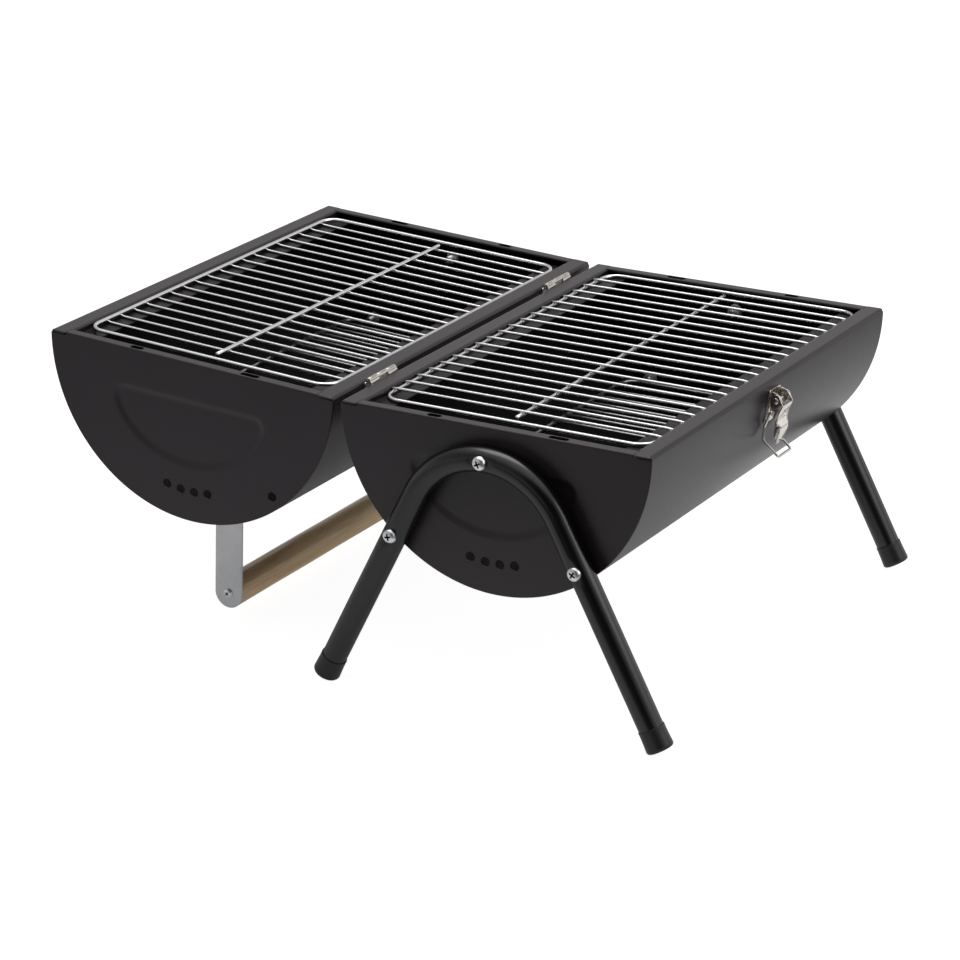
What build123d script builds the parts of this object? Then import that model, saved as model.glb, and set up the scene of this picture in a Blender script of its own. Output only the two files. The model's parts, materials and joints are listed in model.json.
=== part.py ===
from build123d import *
import os
from math import sin, cos, sqrt, hypot, radians

# Folding camp grill: two half-barrel fire bowls hinged together along their rims, shown open.
# The right bowl (+X) stands on two bent tube legs. The left bowl (-X) leans up slightly and
# has a carrying handle underneath that reaches the ground. Units are millimetres.
# World frame: +Z up, +Y along the barrels, front is -Y; the origin is the middle of the
# footprint, on the ground.
# Bowl frame, in which every piece is made: the origin is the middle of the bowl's rim plane.
# In the code, side is the sign of x and end is the sign of y.

# ---------------- driving dimensions ----------------
LENGTH = 420.0          # along the barrel, outside the end plates
R_OUT = 139.4           # outside radius of the half barrel
T = 1.0                 # steel sheet
FOLD_GAP = 7.0          # between the two bowls at the rims
TOP_Z = 238.6           # rim height above the ground
HINGE_UP = 1.5          # hinge axis above the rim plane
OPEN_TILT = 3.15        # left bowl leans up by this much when open (deg)

END_Y = LENGTH / 2                  # outside face of an end plate
HALF_W = R_OUT + FOLD_GAP / 2       # hinge line to a bowl's centre line
HINGE_Z = TOP_Z + HINGE_UP
FOLD_AXIS = Axis((0, 0, HINGE_Z), (0, 1, 0))
DIAGONAL = sqrt(0.5)                # sine and cosine of 45 deg, for the middle of a bend

CLEAR = 0.02                        # gap between touching pieces
SEAT_R = R_OUT + CLEAR              # radius where fittings lie on the barrel wall
FITTING_T = 1.2                     # sheet of hinge leaves, latch base and catch

parts = {}


# ---------------- placing ----------------
def right(piece):
    return Pos(HALF_W, 0, TOP_Z) * piece


def left(piece):
    return (Pos(-HALF_W, 0, TOP_Z) * piece).rotate(FOLD_AXIS, OPEN_TILT)


def on_hinge_line(piece):
    return Pos(0, 0, HINGE_Z) * piece


def add(name, place, *pieces):
    parts[name] = [place(piece) for piece in pieces]


# ---------------- shared shapes ----------------
def cyl(start, direction, radius, height):
    return extrude(Plane(origin=start, z_dir=direction) * Circle(radius), height)


def y_rod(x, z, radius, half, y=0):
    """Cylinder along Y, reaching half to each side of y."""
    return cyl((x, y - half, z), (0, 1, 0), radius, 2 * half)


def xz_prism(points, y0, y1):
    """Closed (x, z) polygon extruded from y0 to y1."""
    face = make_face(Polyline(*[(x, y0, z) for x, z in points], close=True))
    return extrude(face, y1 - y0, dir=(0, 1, 0))


def wall_strip(z_top, z_low, y0, y1, side):
    """Fitting sheet that follows the outside of the barrel wall between two depths."""
    def at(radius, z):
        return (side * sqrt(radius * radius - z * z), y0, z)
    z_mid = (z_top + z_low) / 2
    outer = SEAT_R + FITTING_T
    outline = (ThreePointArc(at(outer, z_top), at(outer, z_mid), at(outer, z_low)) +
               Line(at(outer, z_low), at(SEAT_R, z_low)) +
               ThreePointArc(at(SEAT_R, z_low), at(SEAT_R, z_mid), at(SEAT_R, z_top)) +
               Line(at(SEAT_R, z_top), at(outer, z_top)))
    return extrude(make_face(outline), y1 - y0, dir=(0, 1, 0))


def headed_pin(base, outward, head_r, head_h, rounding, shank_r, shank_len):
    """Round head with a softened outer edge, and a shank going the other way from base."""
    base, outward = Vector(base), Vector(outward)
    head = cyl(base, outward, head_r, head_h)
    rims = head.edges().filter_by(GeomType.CIRCLE)
    head = fillet([max(rims, key=lambda rim: (rim.center() - base).dot(outward))], rounding)
    return head + cyl(base, outward * -1, shank_r, shank_len)


def pan_screw(x, z, end, y_face, shank_len, shank_r, head_r, head_h):
    """Cross-recess screw with its head outside and its shank pointing to the middle."""
    screw = headed_pin((x, y_face, z), (0, end, 0), head_r, head_h, head_h * 0.62,
                       shank_r, shank_len)
    recess_l, recess_w, recess_depth, turn = 6.0, 1.15, 2.0, 20
    for angle in (0, 90):
        blade = Box(recess_l, 2 * recess_depth, recess_w)
        screw = screw - Pos(x, y_face + end * head_h, z) * Rot(0, angle + turn, 0) * blade
    return screw


def bored(blank, start, direction, height, bore_r):
    """Cut a bore that overshoots the blank by 1 mm at each face."""
    return blank - cyl(Vector(start) - Vector(direction), direction, bore_r, height + 2)


def hex_nut(start, direction, across_flats, height, bore_r):
    outline = RegularPolygon(across_flats / 2, 6, major_radius=False)
    blank = extrude(Plane(origin=start, z_dir=direction) * outline, height)
    return bored(blank, start, direction, height, bore_r)


# ---------------- rivets through the barrel wall ----------------
RIVET_R, RIVET_HOLE_R = 1.6, 1.65
BULB_R, BULB_H = 2.4, 2.2           # swollen end inside the bowl
HINGE_Y = 144.0                     # hinge middles, from the centre
# (z, y) of the rivets in the bowl frame
HINGE_RIVETS = [(-11.5, end * HINGE_Y + dy) for end in (-1, 1) for dy in (-14.0, 14.0)]
LATCH_RIVETS = [(-28.5, -5.0), (-28.5, 5.0)]
CATCH_RIVETS = [(-19.5, -5.5), (-19.5, 5.5)]


def wall_normal(side, z):
    return Vector(side * sqrt(R_OUT ** 2 - z * z), 0, z).normalized()


def rivet_hole(side, z, y):
    normal = wall_normal(side, z)
    return cyl(normal * (R_OUT - 6) + Vector(0, y, 0), normal, RIVET_HOLE_R, 12)


def rivet(side, z, y, head_r, head_h):
    """Low dome on the outside of a fitting, bulb inside the bowl."""
    normal = wall_normal(side, z)
    base = normal * (SEAT_R + FITTING_T + CLEAR) + Vector(0, y, 0)
    grip = T + FITTING_T + CLEAR
    body = headed_pin(base, normal, head_r, head_h, head_h * 0.75, RIVET_R, grip + 0.5)
    return body + cyl(base - normal * (grip + 0.06), normal * -1, BULB_R, BULB_H)


def add_rivets(name, place, side, spots, head_r=2.9, head_h=0.9):
    add(name, place, *[rivet(side, z, y, head_r, head_h) for z, y in spots])


# ---------------- bowl shells ----------------
RIM_IN = 122.5          # inner edge of the long rims
RIM_DROP = 6.5          # rim lip height down to the grate ledge
LEDGE_IN = 104.0        # inner edge of the ledge
EDGE_BEND = 3.0         # outside bend from the wall to the rim
RIM_BEND = 2.0          # outside bend at the rim's inner edge
END_IN = 200.8          # inner edge of the end rims

HANDLE_Y = 150.0        # handle strap middle, from the centre
HANDLE_BOLT_Y = HANDLE_Y - 14.0
HANDLE_BOLT_HOLE_R = 2.65


def shell_face():
    """Cross-section of the bent sheet: half barrel, rims and ledges."""
    y = -END_Y + T
    x_out = sqrt(R_OUT ** 2 - EDGE_BEND ** 2)
    x_in = sqrt((R_OUT - T) ** 2 - EDGE_BEND ** 2)
    edge_in = EDGE_BEND - T
    rim_in = RIM_BEND - T
    bend_x = RIM_IN + RIM_BEND          # centre of the rim's inner bend

    def rim_edges(side):
        """Up the outside, over the rim, down the lip, along the ledge and back."""
        def at(x, z):
            return (side * x, y, z)
        lip = [(RIM_IN, -RIM_BEND), (RIM_IN, -RIM_DROP), (LEDGE_IN, -RIM_DROP),
               (LEDGE_IN, -RIM_DROP - T), (RIM_IN + T, -RIM_DROP - T), (RIM_IN + T, -RIM_BEND)]
        return [
            ThreePointArc(at(x_out, -EDGE_BEND),
                          at(x_out - EDGE_BEND + EDGE_BEND * DIAGONAL,
                             -EDGE_BEND + EDGE_BEND * DIAGONAL),
                          at(x_out - EDGE_BEND, 0)),
            Line(at(x_out - EDGE_BEND, 0), at(bend_x, 0)),
            ThreePointArc(at(bend_x, 0),
                          at(bend_x - RIM_BEND * DIAGONAL, -RIM_BEND + RIM_BEND * DIAGONAL),
                          at(RIM_IN, -RIM_BEND)),
            *[Line(at(*a), at(*b)) for a, b in zip(lip, lip[1:])],
            ThreePointArc(at(RIM_IN + T, -RIM_BEND),
                          at(bend_x - rim_in * DIAGONAL, -RIM_BEND + rim_in * DIAGONAL),
                          at(bend_x, -T)),
            Line(at(bend_x, -T), at(x_in - edge_in, -T)),
            ThreePointArc(at(x_in - edge_in, -T),
                          at(x_in - edge_in + edge_in * DIAGONAL,
                             -EDGE_BEND + edge_in * DIAGONAL),
                          at(x_in, -EDGE_BEND)),
        ]

    edges = rim_edges(1) + rim_edges(-1)
    for x, radius in ((x_out, R_OUT), (x_in, R_OUT - T)):
        edges.append(ThreePointArc((x, y, -EDGE_BEND), (0, y, -radius), (-x, y, -EDGE_BEND)))
    return make_face(edges)


def shell(holes):
    body = extrude(shell_face(), LENGTH - 2 * T, dir=(0, 1, 0))
    # the ledges and their bends stop where the end rims begin
    for side in (-1, 1):
        for end in (-1, 1):
            notch_x = side * (RIM_IN + RIM_BEND - 15)
            notch_y = end * (END_IN - 0.15 + 10)
            body = body - Pos(notch_x, notch_y, -6) * Box(30, 20, 14)
    for hole in holes:
        body = body - hole
    return body


right_holes = [rivet_hole(-1, z, y) for z, y in HINGE_RIVETS]
right_holes += [rivet_hole(1, z, y) for z, y in LATCH_RIVETS]
left_holes = [rivet_hole(1, z, y) for z, y in HINGE_RIVETS]
left_holes += [rivet_hole(-1, z, y) for z, y in CATCH_RIVETS]
left_holes += [Pos(0, end * HANDLE_BOLT_Y, -R_OUT) * Cylinder(HANDLE_BOLT_HOLE_R, 12)
               for end in (-1, 1)]
add("right_shell", right, shell(right_holes))
add("left_shell", left, shell(left_holes))

# ---------------- end plates ----------------
END_LIP = 2.3                       # depth of the end rim lip
PLATE_BEND = 1.6                    # outside bend from the plate to its rim
LIP_BEND = 1.3                      # outside bend from the rim to its lip
VENT_R = 4.0                        # air holes low on the plates
VENT_ARC_R = 113.0                  # arc the air holes lie on, about the barrel axis
VENT_X = (-21.4, -7.8, 5.5, 18.9)
SLOT_Y, SLOT_W = 205.4, 5.6         # slots in the end rims
SLOT_SPANS = ((-61.3, -48.6), (47.9, 65.6))     # x from, x to

ARCH_TOP = -22.7                    # leg arch centre line at its top
SIDE_HOLE_X, SIDE_HOLE_Z = 83.4, -98.4
PLATE_HOLE_R = 3.2
# (x, z) of the screws
LEG_SPOTS = [(0, ARCH_TOP), (SIDE_HOLE_X, SIDE_HOLE_Z), (-SIDE_HOLE_X, SIDE_HOLE_Z)]
SPARE_SPOTS = [(0, ARCH_TOP), (-SIDE_HOLE_X, SIDE_HOLE_Z)]


def end_rim(half_w):
    """Folded top rim of the front plate, with a bend and a short lip."""
    def at(y, z):
        return (0, y, z)
    y0, ro, rb = -END_Y, PLATE_BEND, LIP_BEND
    ri, lip_ri = ro - T, rb - T
    lip_y = -END_IN - rb                # centre of the lip's bend
    outline = (ThreePointArc(at(y0, -ro),
                             at(y0 + ro - ro * DIAGONAL, -ro + ro * DIAGONAL),
                             at(y0 + ro, 0)) +
               Line(at(y0 + ro, 0), at(lip_y, 0)) +
               ThreePointArc(at(lip_y, 0),
                             at(lip_y + rb * DIAGONAL, -rb + rb * DIAGONAL),
                             at(-END_IN, -rb)) +
               Line(at(-END_IN, -rb), at(-END_IN, -END_LIP)) +
               Line(at(-END_IN, -END_LIP), at(-END_IN - T, -END_LIP)) +
               Line(at(-END_IN - T, -END_LIP), at(-END_IN - T, -rb)) +
               ThreePointArc(at(-END_IN - T, -rb),
                             at(lip_y + lip_ri * DIAGONAL, -rb + lip_ri * DIAGONAL),
                             at(lip_y, -T)) +
               Line(at(lip_y, -T), at(y0 + ro, -T)) +
               ThreePointArc(at(y0 + ro, -T),
                             at(y0 + ro - ri * DIAGONAL, -ro + ri * DIAGONAL),
                             at(y0 + T, -ro)) +
               Line(at(y0 + T, -ro), at(y0, -ro)))
    return extrude(Pos(-half_w, 0, 0) * make_face(outline), 2 * half_w, dir=(1, 0, 0))


def end_plate(end, spots, hole_r=PLATE_HOLE_R):
    """Half-round plate with a folded rim, made at the front.
    The rear plate is the same part turned half a turn, so its x values change sign."""
    disc = extrude(Plane.XZ.offset(END_Y) * Circle(R_OUT), -T)
    disc = disc - Pos(0, 0, 100) * Box(400, LENGTH + 20, 200)
    half_w = RIM_IN + RIM_BEND - 0.1    # the rim fills the space between the long rims
    disc = disc - Pos(0, -END_Y, 0) * Box(2 * half_w, 10, 2 * PLATE_BEND)
    plate = disc + end_rim(half_w)
    for x0, x1 in SLOT_SPANS:
        slot = extrude(SlotOverall(x1 - x0, SLOT_W), 4, both=True)
        plate = plate - Pos((x0 + x1) / 2, -SLOT_Y, -0.5) * slot
    holes = [(x, -sqrt(VENT_ARC_R ** 2 - x * x), VENT_R) for x in VENT_X]
    holes += [(x, z, hole_r) for x, z in spots]
    for x, z, radius in holes:
        plate = plate - y_rod(x, z, radius, 3, y=-END_Y + 1)
    if end > 0:
        plate = plate.rotate(Axis.Z, 180)
    return plate


add("right_front_plate", right, end_plate(-1, LEG_SPOTS))
add("right_rear_plate", right, end_plate(1, LEG_SPOTS))
add("left_front_plate", left, end_plate(-1, [(82.5, SIDE_HOLE_Z)], hole_r=4.0))
add("left_rear_plate", left, end_plate(1, [(-x, z) for x, z in SPARE_SPOTS]))

# ---------------- legs ----------------
TUBE_R, TUBE_WALL = 10.3, 1.2
LEG_Y = END_Y + TUBE_R
ARCH_R = 72.5
SPLAY = radians(27.5)               # legs from vertical
CAP_R, CAP_LEN = 11.4, 19.0
GROUND_CUT = 0.7                    # the ground flat cuts this much off the cap's lower edge
SCREW_R = 3.0                       # M6 leg screws
HEAD_R, HEAD_H = 6.0, 4.2
DIMPLE = 0.8                        # flat pressed into the tube under each screw head

# where the arch runs over into the straight legs
ARCH_END_X = ARCH_R * cos(SPLAY)
ARCH_END_Z = ARCH_TOP - ARCH_R + ARCH_R * sin(SPLAY)
CAP_END_Z = -TOP_Z - GROUND_CUT + CAP_R * sin(SPLAY) * 0.93
CAP_END = (ARCH_END_Z - CAP_END_Z) / cos(SPLAY)     # distances along the leg from the arch
CAP_START = CAP_END - CAP_LEN
TUBE_END = CAP_END - 2.0


def leg_point(distance, side, y):
    return (side * (ARCH_END_X + distance * sin(SPLAY)), y,
            ARCH_END_Z - distance * cos(SPLAY))


def leg_tube(end):
    """Both legs of one end and the arch between them, one bent tube."""
    y = end * LEG_Y
    left_foot, left_top = leg_point(TUBE_END, -1, y), leg_point(0, -1, y)
    right_top, right_foot = leg_point(0, 1, y), leg_point(TUBE_END, 1, y)
    path = (Line(left_foot, left_top) +
            ThreePointArc(left_top, (0, y, ARCH_TOP), right_top) +
            Line(right_top, right_foot))
    start = Plane(origin=left_foot, z_dir=Vector(*left_top) - Vector(*left_foot))
    outer = sweep(start * Circle(TUBE_R), path=path)
    inner = sweep(start * Circle(TUBE_R - TUBE_WALL), path=path)
    tube = outer - inner
    for x, z in LEG_SPOTS:
        tube = tube - y_rod(x, z, SCREW_R + 0.2, 15, y=y)
        flat_y = y + end * (TUBE_R - DIMPLE)
        tube = tube - cyl((x, flat_y, z), (0, end, 0), HEAD_R + 0.15, 5)
    return tube


def foot_cap(end, side):
    y = end * LEG_Y
    tip = leg_point(CAP_END, side, y)
    top = leg_point(CAP_START, side, y)
    cap = cyl(top, Vector(*tip) - Vector(*top), CAP_R, CAP_LEN)
    cap = fillet(cap.edges().filter_by(GeomType.CIRCLE).sort_by(Axis.Z)[0:1], 2.2)
    cap = fillet(cap.edges().filter_by(GeomType.CIRCLE).sort_by(Axis.Z)[-1:], 0.8)
    # socket for the tube
    mouth = Vector(*leg_point(CAP_START - 5, side, y))
    socket = Vector(*leg_point(TUBE_END + 0.05, side, y)) - mouth
    cap = cap - cyl(mouth, socket, TUBE_R + CLEAR, socket.length)
    # ground flat
    return cap - Pos(tip[0], y, -TOP_Z - 25) * Box(80, 60, 50)


add("front_leg_tube", right, leg_tube(-1))
add("rear_leg_tube", right, leg_tube(1))
add("foot_caps", right, *[foot_cap(end, side) for end in (-1, 1) for side in (-1, 1)])

# ---------------- screws, washers and nuts of the end plates ----------------
PLATE_IN = END_Y - T                # inside face of an end plate
WASHER_R, WASHER_T = 6.2, 1.0
NUT_FLATS, NUT_H = 10.0, 5.0
NUT_BORE_R = SCREW_R + 0.05


def leg_screw(end, x, z):
    return pan_screw(x, z, end, end * (LEG_Y + TUBE_R - DIMPLE),
                     2 * TUBE_R - DIMPLE + T + 8.5, SCREW_R, HEAD_R, HEAD_H)


def leg_washer(end, x, z):
    start, inward = (x, end * PLATE_IN, z), (0, -end, 0)
    blank = cyl(start, inward, WASHER_R, WASHER_T)
    return bored(blank, start, inward, WASHER_T, SCREW_R + 0.15)


def plate_nut(end, x, z, gap):
    """Nut inside the bowl, gap away from the end plate."""
    return hex_nut((x, end * (PLATE_IN - gap), z), (0, -end, 0), NUT_FLATS, NUT_H, NUT_BORE_R)


def spare_bolt(x, z):
    """Low rounded head outside the rear plate."""
    return headed_pin((x, END_Y, z), (0, 1, 0), 5.5, 2.6, 1.8, SCREW_R, 13.0)


leg_fixings = [(end, x, z) for end in (-1, 1) for x, z in LEG_SPOTS]
add("leg_screws", right, *[leg_screw(*spot) for spot in leg_fixings])
add("leg_washers", right, *[leg_washer(*spot) for spot in leg_fixings])
add("leg_nuts", right, *[plate_nut(*spot, WASHER_T) for spot in leg_fixings])
add("spare_bolts", left, *[spare_bolt(x, z) for x, z in SPARE_SPOTS])
add("spare_nuts", left, *[plate_nut(1, x, z, 0) for x, z in SPARE_SPOTS])

# ---------------- hinges ----------------
HINGE_LEN = 40.0
HINGE_HALF = HINGE_LEN / 2
KNUCKLE_R = 2.4
PIN_R = 1.2
TONGUE_T = 1.6
# knuckles of each leaf: y from, y to, from the hinge's middle
RIGHT_KNUCKLES = [(-HINGE_HALF, -6.8), (6.8, HINGE_HALF)]
LEFT_KNUCKLES = [(-6.6, 6.6)]


def hinge_leaf(side, middle, knuckles):
    """Leaf on the wall at the given side of its bowl; side=-1 belongs to the right bowl."""
    hinge_x = side * HALF_W
    leaf = wall_strip(-0.6, -18.0, middle - HINGE_HALF, middle + HINGE_HALF, side)
    # straight neck from the wall strip up to the knuckles
    neck = Box(FITTING_T, HINGE_LEN, 2 * (HINGE_UP - 0.2))
    leaf = leaf + Pos(side * (SEAT_R + FITTING_T / 2), middle, 0) * neck
    # room for the other leaf's knuckles
    leaf = leaf - y_rod(hinge_x, HINGE_UP, KNUCKLE_R + 0.25, HINGE_HALF + 1, y=middle)
    for y0, y1 in knuckles:
        y = middle + (y0 + y1) / 2
        knuckle = y_rod(hinge_x, HINGE_UP, KNUCKLE_R, (y1 - y0) / 2, y=y)
        # tongue that carries the knuckle on its leaf
        tongue = Box(TONGUE_T, y1 - y0, 2 * HINGE_UP - 0.05)
        leaf = leaf + knuckle + Pos(side * (SEAT_R + TONGUE_T / 2), y, -0.075) * tongue
    leaf = leaf - y_rod(hinge_x, HINGE_UP, PIN_R + 0.05, HINGE_HALF + 1, y=middle)
    for z, y in HINGE_RIVETS:
        if abs(y - middle) < HINGE_HALF:
            leaf = leaf - rivet_hole(side, z, y)
    return leaf


hinge_middles = (-HINGE_Y, HINGE_Y)
add("right_hinge_leaves", right, *[hinge_leaf(-1, y, RIGHT_KNUCKLES) for y in hinge_middles])
add("left_hinge_leaves", left, *[hinge_leaf(1, y, LEFT_KNUCKLES) for y in hinge_middles])
add("hinge_pins", on_hinge_line,
    *[y_rod(0, 0, PIN_R, HINGE_HALF + 0.4, y=y) for y in hinge_middles])
add_rivets("right_hinge_rivets", right, -1, HINGE_RIVETS, head_r=3.2, head_h=1.1)
add_rivets("left_hinge_rivets", left, 1, HINGE_RIVETS, head_r=3.2, head_h=1.1)

# ---------------- draw latch on the right bowl's outer wall ----------------
PIVOT_X, PIVOT_Z = 145.2, -15.5     # lever pivot
PIVOT_R = 1.5
EYE_X, EYE_Z = 142.3, -24.5         # bail eye in the lever
BAIL_R = 1.25                       # bail wire
BAIL_Y, BAIL_END_Y = 11.6, 7.5      # bail arms, and its wire ends inside the lever
KINK_X, KINK_Z = 135.6, -49.2
CROSS_X, CROSS_Z = 149.6, -61.6     # cross wire of the bail, hanging open
CHEEK_IN, CHEEK_OUT = 8.35, 9.45    # y faces of the lever cheeks
LEVER_T = 1.1
# outlines as (x, z)
EAR = [(139.9, -8.2), (144.0, -9.2), (147.6, -10.9), (150.4, -15.0), (149.6, -19.4),
       (145.2, -21.2), (139.0, -21.0)]
LEVER_BACK = [(151.9, -19.4), (145.9, -31.5), (149.6, -38.5), (144.6, -53.9)]
CHEEK = [(151.9, -19.4), (148.3, -11.4), (146.6, -10.5), (144.4, -10.4), (142.0, -11.6),
         (140.6, -13.3), (140.1, -15.5), (140.2, -19.5), (139.9, -24.5), (140.2, -26.7),
         (141.6, -28.2), (144.9, -31.3), (145.6, -31.9)]


def latch_base():
    base = wall_strip(-7.4, -36.5, -10.0, 10.0, 1)
    base = base + xz_prism(EAR, -8.2, -7.0) + xz_prism(EAR, 7.0, 8.2)
    base = base - y_rod(PIVOT_X, PIVOT_Z, PIVOT_R + 0.01, 12)
    # nothing of the ears may enter the wall
    base = base - y_rod(0, 0, SEAT_R, 12)
    for z, y in LATCH_RIVETS:
        base = base - rivet_hole(1, z, y)
    return base


def pivot_pin():
    pin = y_rod(PIVOT_X, PIVOT_Z, PIVOT_R, 9.6)
    for y in (-9.85, 9.85):
        pin = pin + y_rod(PIVOT_X, PIVOT_Z, 2.6, 0.3, y=y)
    return pin


def bent_strip(points, thickness):
    """Outline of a bent sheet: outer face through points, mitred inner face to its -x side."""
    runs = []
    for (x0, z0), (x1, z1) in zip(points, points[1:]):
        length = hypot(x1 - x0, z1 - z0)
        runs.append(((x1 - x0) / length, (z1 - z0) / length))
    inner = []
    for (x, z), before, after in zip(points, runs[:1] + runs, runs + runs[-1:]):
        dx, dz = before[0] + after[0], before[1] + after[1]
        length = hypot(dx, dz)
        nx, nz = dz / length, -dx / length
        offset = thickness / (nx * before[1] - nz * before[0])
        inner.append((x + nx * offset, z + nz * offset))
    return points + inner[::-1]


def latch_lever():
    lever = xz_prism(bent_strip(LEVER_BACK, LEVER_T), -CHEEK_OUT, CHEEK_OUT)
    # the finger end narrows
    for end in (-1, 1):
        waste = Polyline((130, end * 7.6, -37.0), (130, end * 20, -37.0),
                         (130, end * 20, -60), (130, end * 6.3, -60), close=True)
        lever = lever - extrude(make_face(waste), 30, dir=(1, 0, 0))
    lever = lever + xz_prism(CHEEK, -CHEEK_OUT, -CHEEK_IN) + xz_prism(CHEEK, CHEEK_IN, CHEEK_OUT)
    lever = lever - y_rod(0, 0, SEAT_R + FITTING_T + 0.25, 12)
    lever = lever - y_rod(PIVOT_X, PIVOT_Z, PIVOT_R + 0.05, 12)
    return lever - y_rod(EYE_X, EYE_Z, BAIL_R + 0.06, 12)


def latch_bail():
    """Wire loop from one lever eye round to the other."""
    front_half = [(EYE_X, -BAIL_END_Y, EYE_Z), (EYE_X, -BAIL_Y, EYE_Z),
                  (KINK_X + 1.2, -BAIL_Y, -38.0), (KINK_X, -BAIL_Y, KINK_Z),
                  (CROSS_X, -BAIL_Y, CROSS_Z)]
    points = front_half + [(x, -y, z) for x, y, z in reversed(front_half)]
    start = Plane(origin=points[0], z_dir=(0, -1, 0))
    return sweep(start * Circle(BAIL_R), path=FilletPolyline(*points, radius=1.9))


add("latch_base", right, latch_base())
add_rivets("latch_base_rivets", right, 1, LATCH_RIVETS)
add("latch_pivot_pin", right, pivot_pin())
add("latch_lever", right, latch_lever())
add("latch_bail", right, latch_bail())

# ---------------- catch on the left bowl's outer wall ----------------
# With the bowls folded shut, the left bowl stands mirrored above the right one and the
# bail's cross wire, swung up about its eye, sits in the catch.
CATCH_X = 144.6                     # cross wire from the bowl's centre line when latched
BAIL_REACH = hypot(CROSS_X - EYE_X, CROSS_Z - EYE_Z)
LATCHED_Z = EYE_Z + sqrt(BAIL_REACH ** 2 - (CATCH_X - EYE_X) ** 2)  # above the right rim
CATCH_Z = -(LATCHED_Z - 2 * HINGE_UP)                               # in the left bowl's frame


def catch_plate():
    """Strip on the wall with a hooked end towards the rim."""
    plate = wall_strip(CATCH_Z + 2.9, -26.0, -9.0, 9.0, -1)
    root_x = R_OUT - 0.4
    hook_x = CATCH_X + BAIL_R + 0.3
    seat_z = CATCH_Z + BAIL_R + 0.3
    outline = [(-root_x, seat_z), (-hook_x, seat_z), (-hook_x, CATCH_Z - 2.4),
               (-(hook_x + 0.5), CATCH_Z - 3.2), (-(hook_x + 1.4), CATCH_Z - 2.6),
               (-(hook_x + 1.2), seat_z + 0.4), (-(hook_x + 0.5), seat_z + 1.2),
               (-root_x, seat_z + 1.2)]
    plate = plate + (xz_prism(outline, -6.5, 6.5) - y_rod(0, 0, SEAT_R, 12))
    for z, y in CATCH_RIVETS:
        plate = plate - rivet_hole(-1, z, y)
    return plate


add("catch_plate", left, catch_plate())
add_rivets("catch_rivets", left, -1, CATCH_RIVETS)

# ---------------- carrying handle under the left bowl ----------------
STRAP_W, STRAP_T = 27.0, 2.0
STRAP_TOP = -SEAT_R
FOOT_LEN = 24.0                         # bent foot of the strap, under the barrel
GRIP_R = 13.4                           # wooden grip
GRIP_Z = -TOP_Z + STRAP_W / 2 - 1.4     # grip axis and centre of the strap's round end
GRIP_HALF = HANDLE_Y - STRAP_T / 2 - CLEAR
HANDLE_BOLT_R = 2.5


def handle_strap(end):
    y_out = end * (HANDLE_Y + STRAP_T / 2)
    y_in = end * (HANDLE_Y - STRAP_T / 2)
    y0, y1 = min(y_in, y_out), max(y_in, y_out)
    half_w = STRAP_W / 2
    outline = [(-half_w, STRAP_TOP), (half_w, STRAP_TOP), (half_w, GRIP_Z), (-half_w, GRIP_Z)]
    blade = xz_prism(outline, y0, y1) + cyl((0, y0, GRIP_Z), (0, 1, 0), half_w, y1 - y0)
    foot_y = y_out - end * FOOT_LEN / 2
    foot = Pos(0, foot_y, STRAP_TOP - STRAP_T / 2) * Box(STRAP_W, FOOT_LEN, STRAP_T)
    strap = blade + foot
    # outside and inside of the bend
    for y, z, radius in ((y_out, STRAP_TOP, 2.6), (y_in, STRAP_TOP - STRAP_T, 0.6)):
        corner = [edge for edge in strap.edges().filter_by(Axis.X)
                  if abs(edge.center().Y - y) < 0.01 and abs(edge.center().Z - z) < 0.01]
        strap = fillet(corner, radius)
    strap = strap - cyl((0, end * HANDLE_BOLT_Y, STRAP_TOP - 10), (0, 0, 1),
                        HANDLE_BOLT_HOLE_R, 20)
    return strap - cyl((0, end * (HANDLE_Y - 8), GRIP_Z), (0, end, 0), 2.3, 16)


def handle_rod():
    """Grip between the straps, bored at both ends for the screws."""
    rod = y_rod(0, GRIP_Z, GRIP_R, GRIP_HALF)
    rod = fillet(rod.edges().filter_by(GeomType.CIRCLE), 1.2)
    for end in (-1, 1):
        rod = rod - cyl((0, end * (GRIP_HALF + 1), GRIP_Z), (0, -end, 0), 2.05, 26)
    return rod


def handle_screw(end):
    return pan_screw(0, GRIP_Z, end, end * (HANDLE_Y + STRAP_T / 2), 24.0, 2.0, 4.2, 2.6)


def handle_bolt(end):
    """Head under the strap's foot, shank up into the bowl."""
    return headed_pin((0, end * HANDLE_BOLT_Y, STRAP_TOP - STRAP_T), (0, 0, -1),
                      4.6, 2.8, 1.6, HANDLE_BOLT_R, 11.5)


def handle_nut(end):
    return hex_nut((0, end * HANDLE_BOLT_Y, -(R_OUT - T) + 0.14), (0, 0, 1),
                   8.0, 4.0, HANDLE_BOLT_R + 0.05)


add("handle_strap_front", left, handle_strap(-1))
add("handle_strap_rear", left, handle_strap(1))
add("handle_rod", left, handle_rod())
add("handle_screws", left, *[handle_screw(end) for end in (-1, 1)])
add("handle_bolts", left, *[handle_bolt(end) for end in (-1, 1)])
add("handle_nuts", left, *[handle_nut(end) for end in (-1, 1)])

# ---------------- wire grates ----------------
FRAME_R, BAR_R = 1.75, 1.25         # wire of frames and spines, and of bars
WELD = 0.25                         # how far welded wires sink into each other
WIRE_STEP = FRAME_R + BAR_R - WELD  # between frame and bar centre lines
BARS = 19                           # in every grate
COOK_X = 120.2                      # cooking frame centre line, half width
COOK_CORNER = 15.0
SPINE_SHORT = 10.0                  # the spine ends this far inside the end wires
COAL_X, COAL_Y, COAL_Z = 97.0, 187.0, -95.6     # charcoal frame half width, half length, height
COAL_CORNER = 14.0
COAL_PITCH = 18.5
COAL_SPINE_HALF = 180.0


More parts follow.
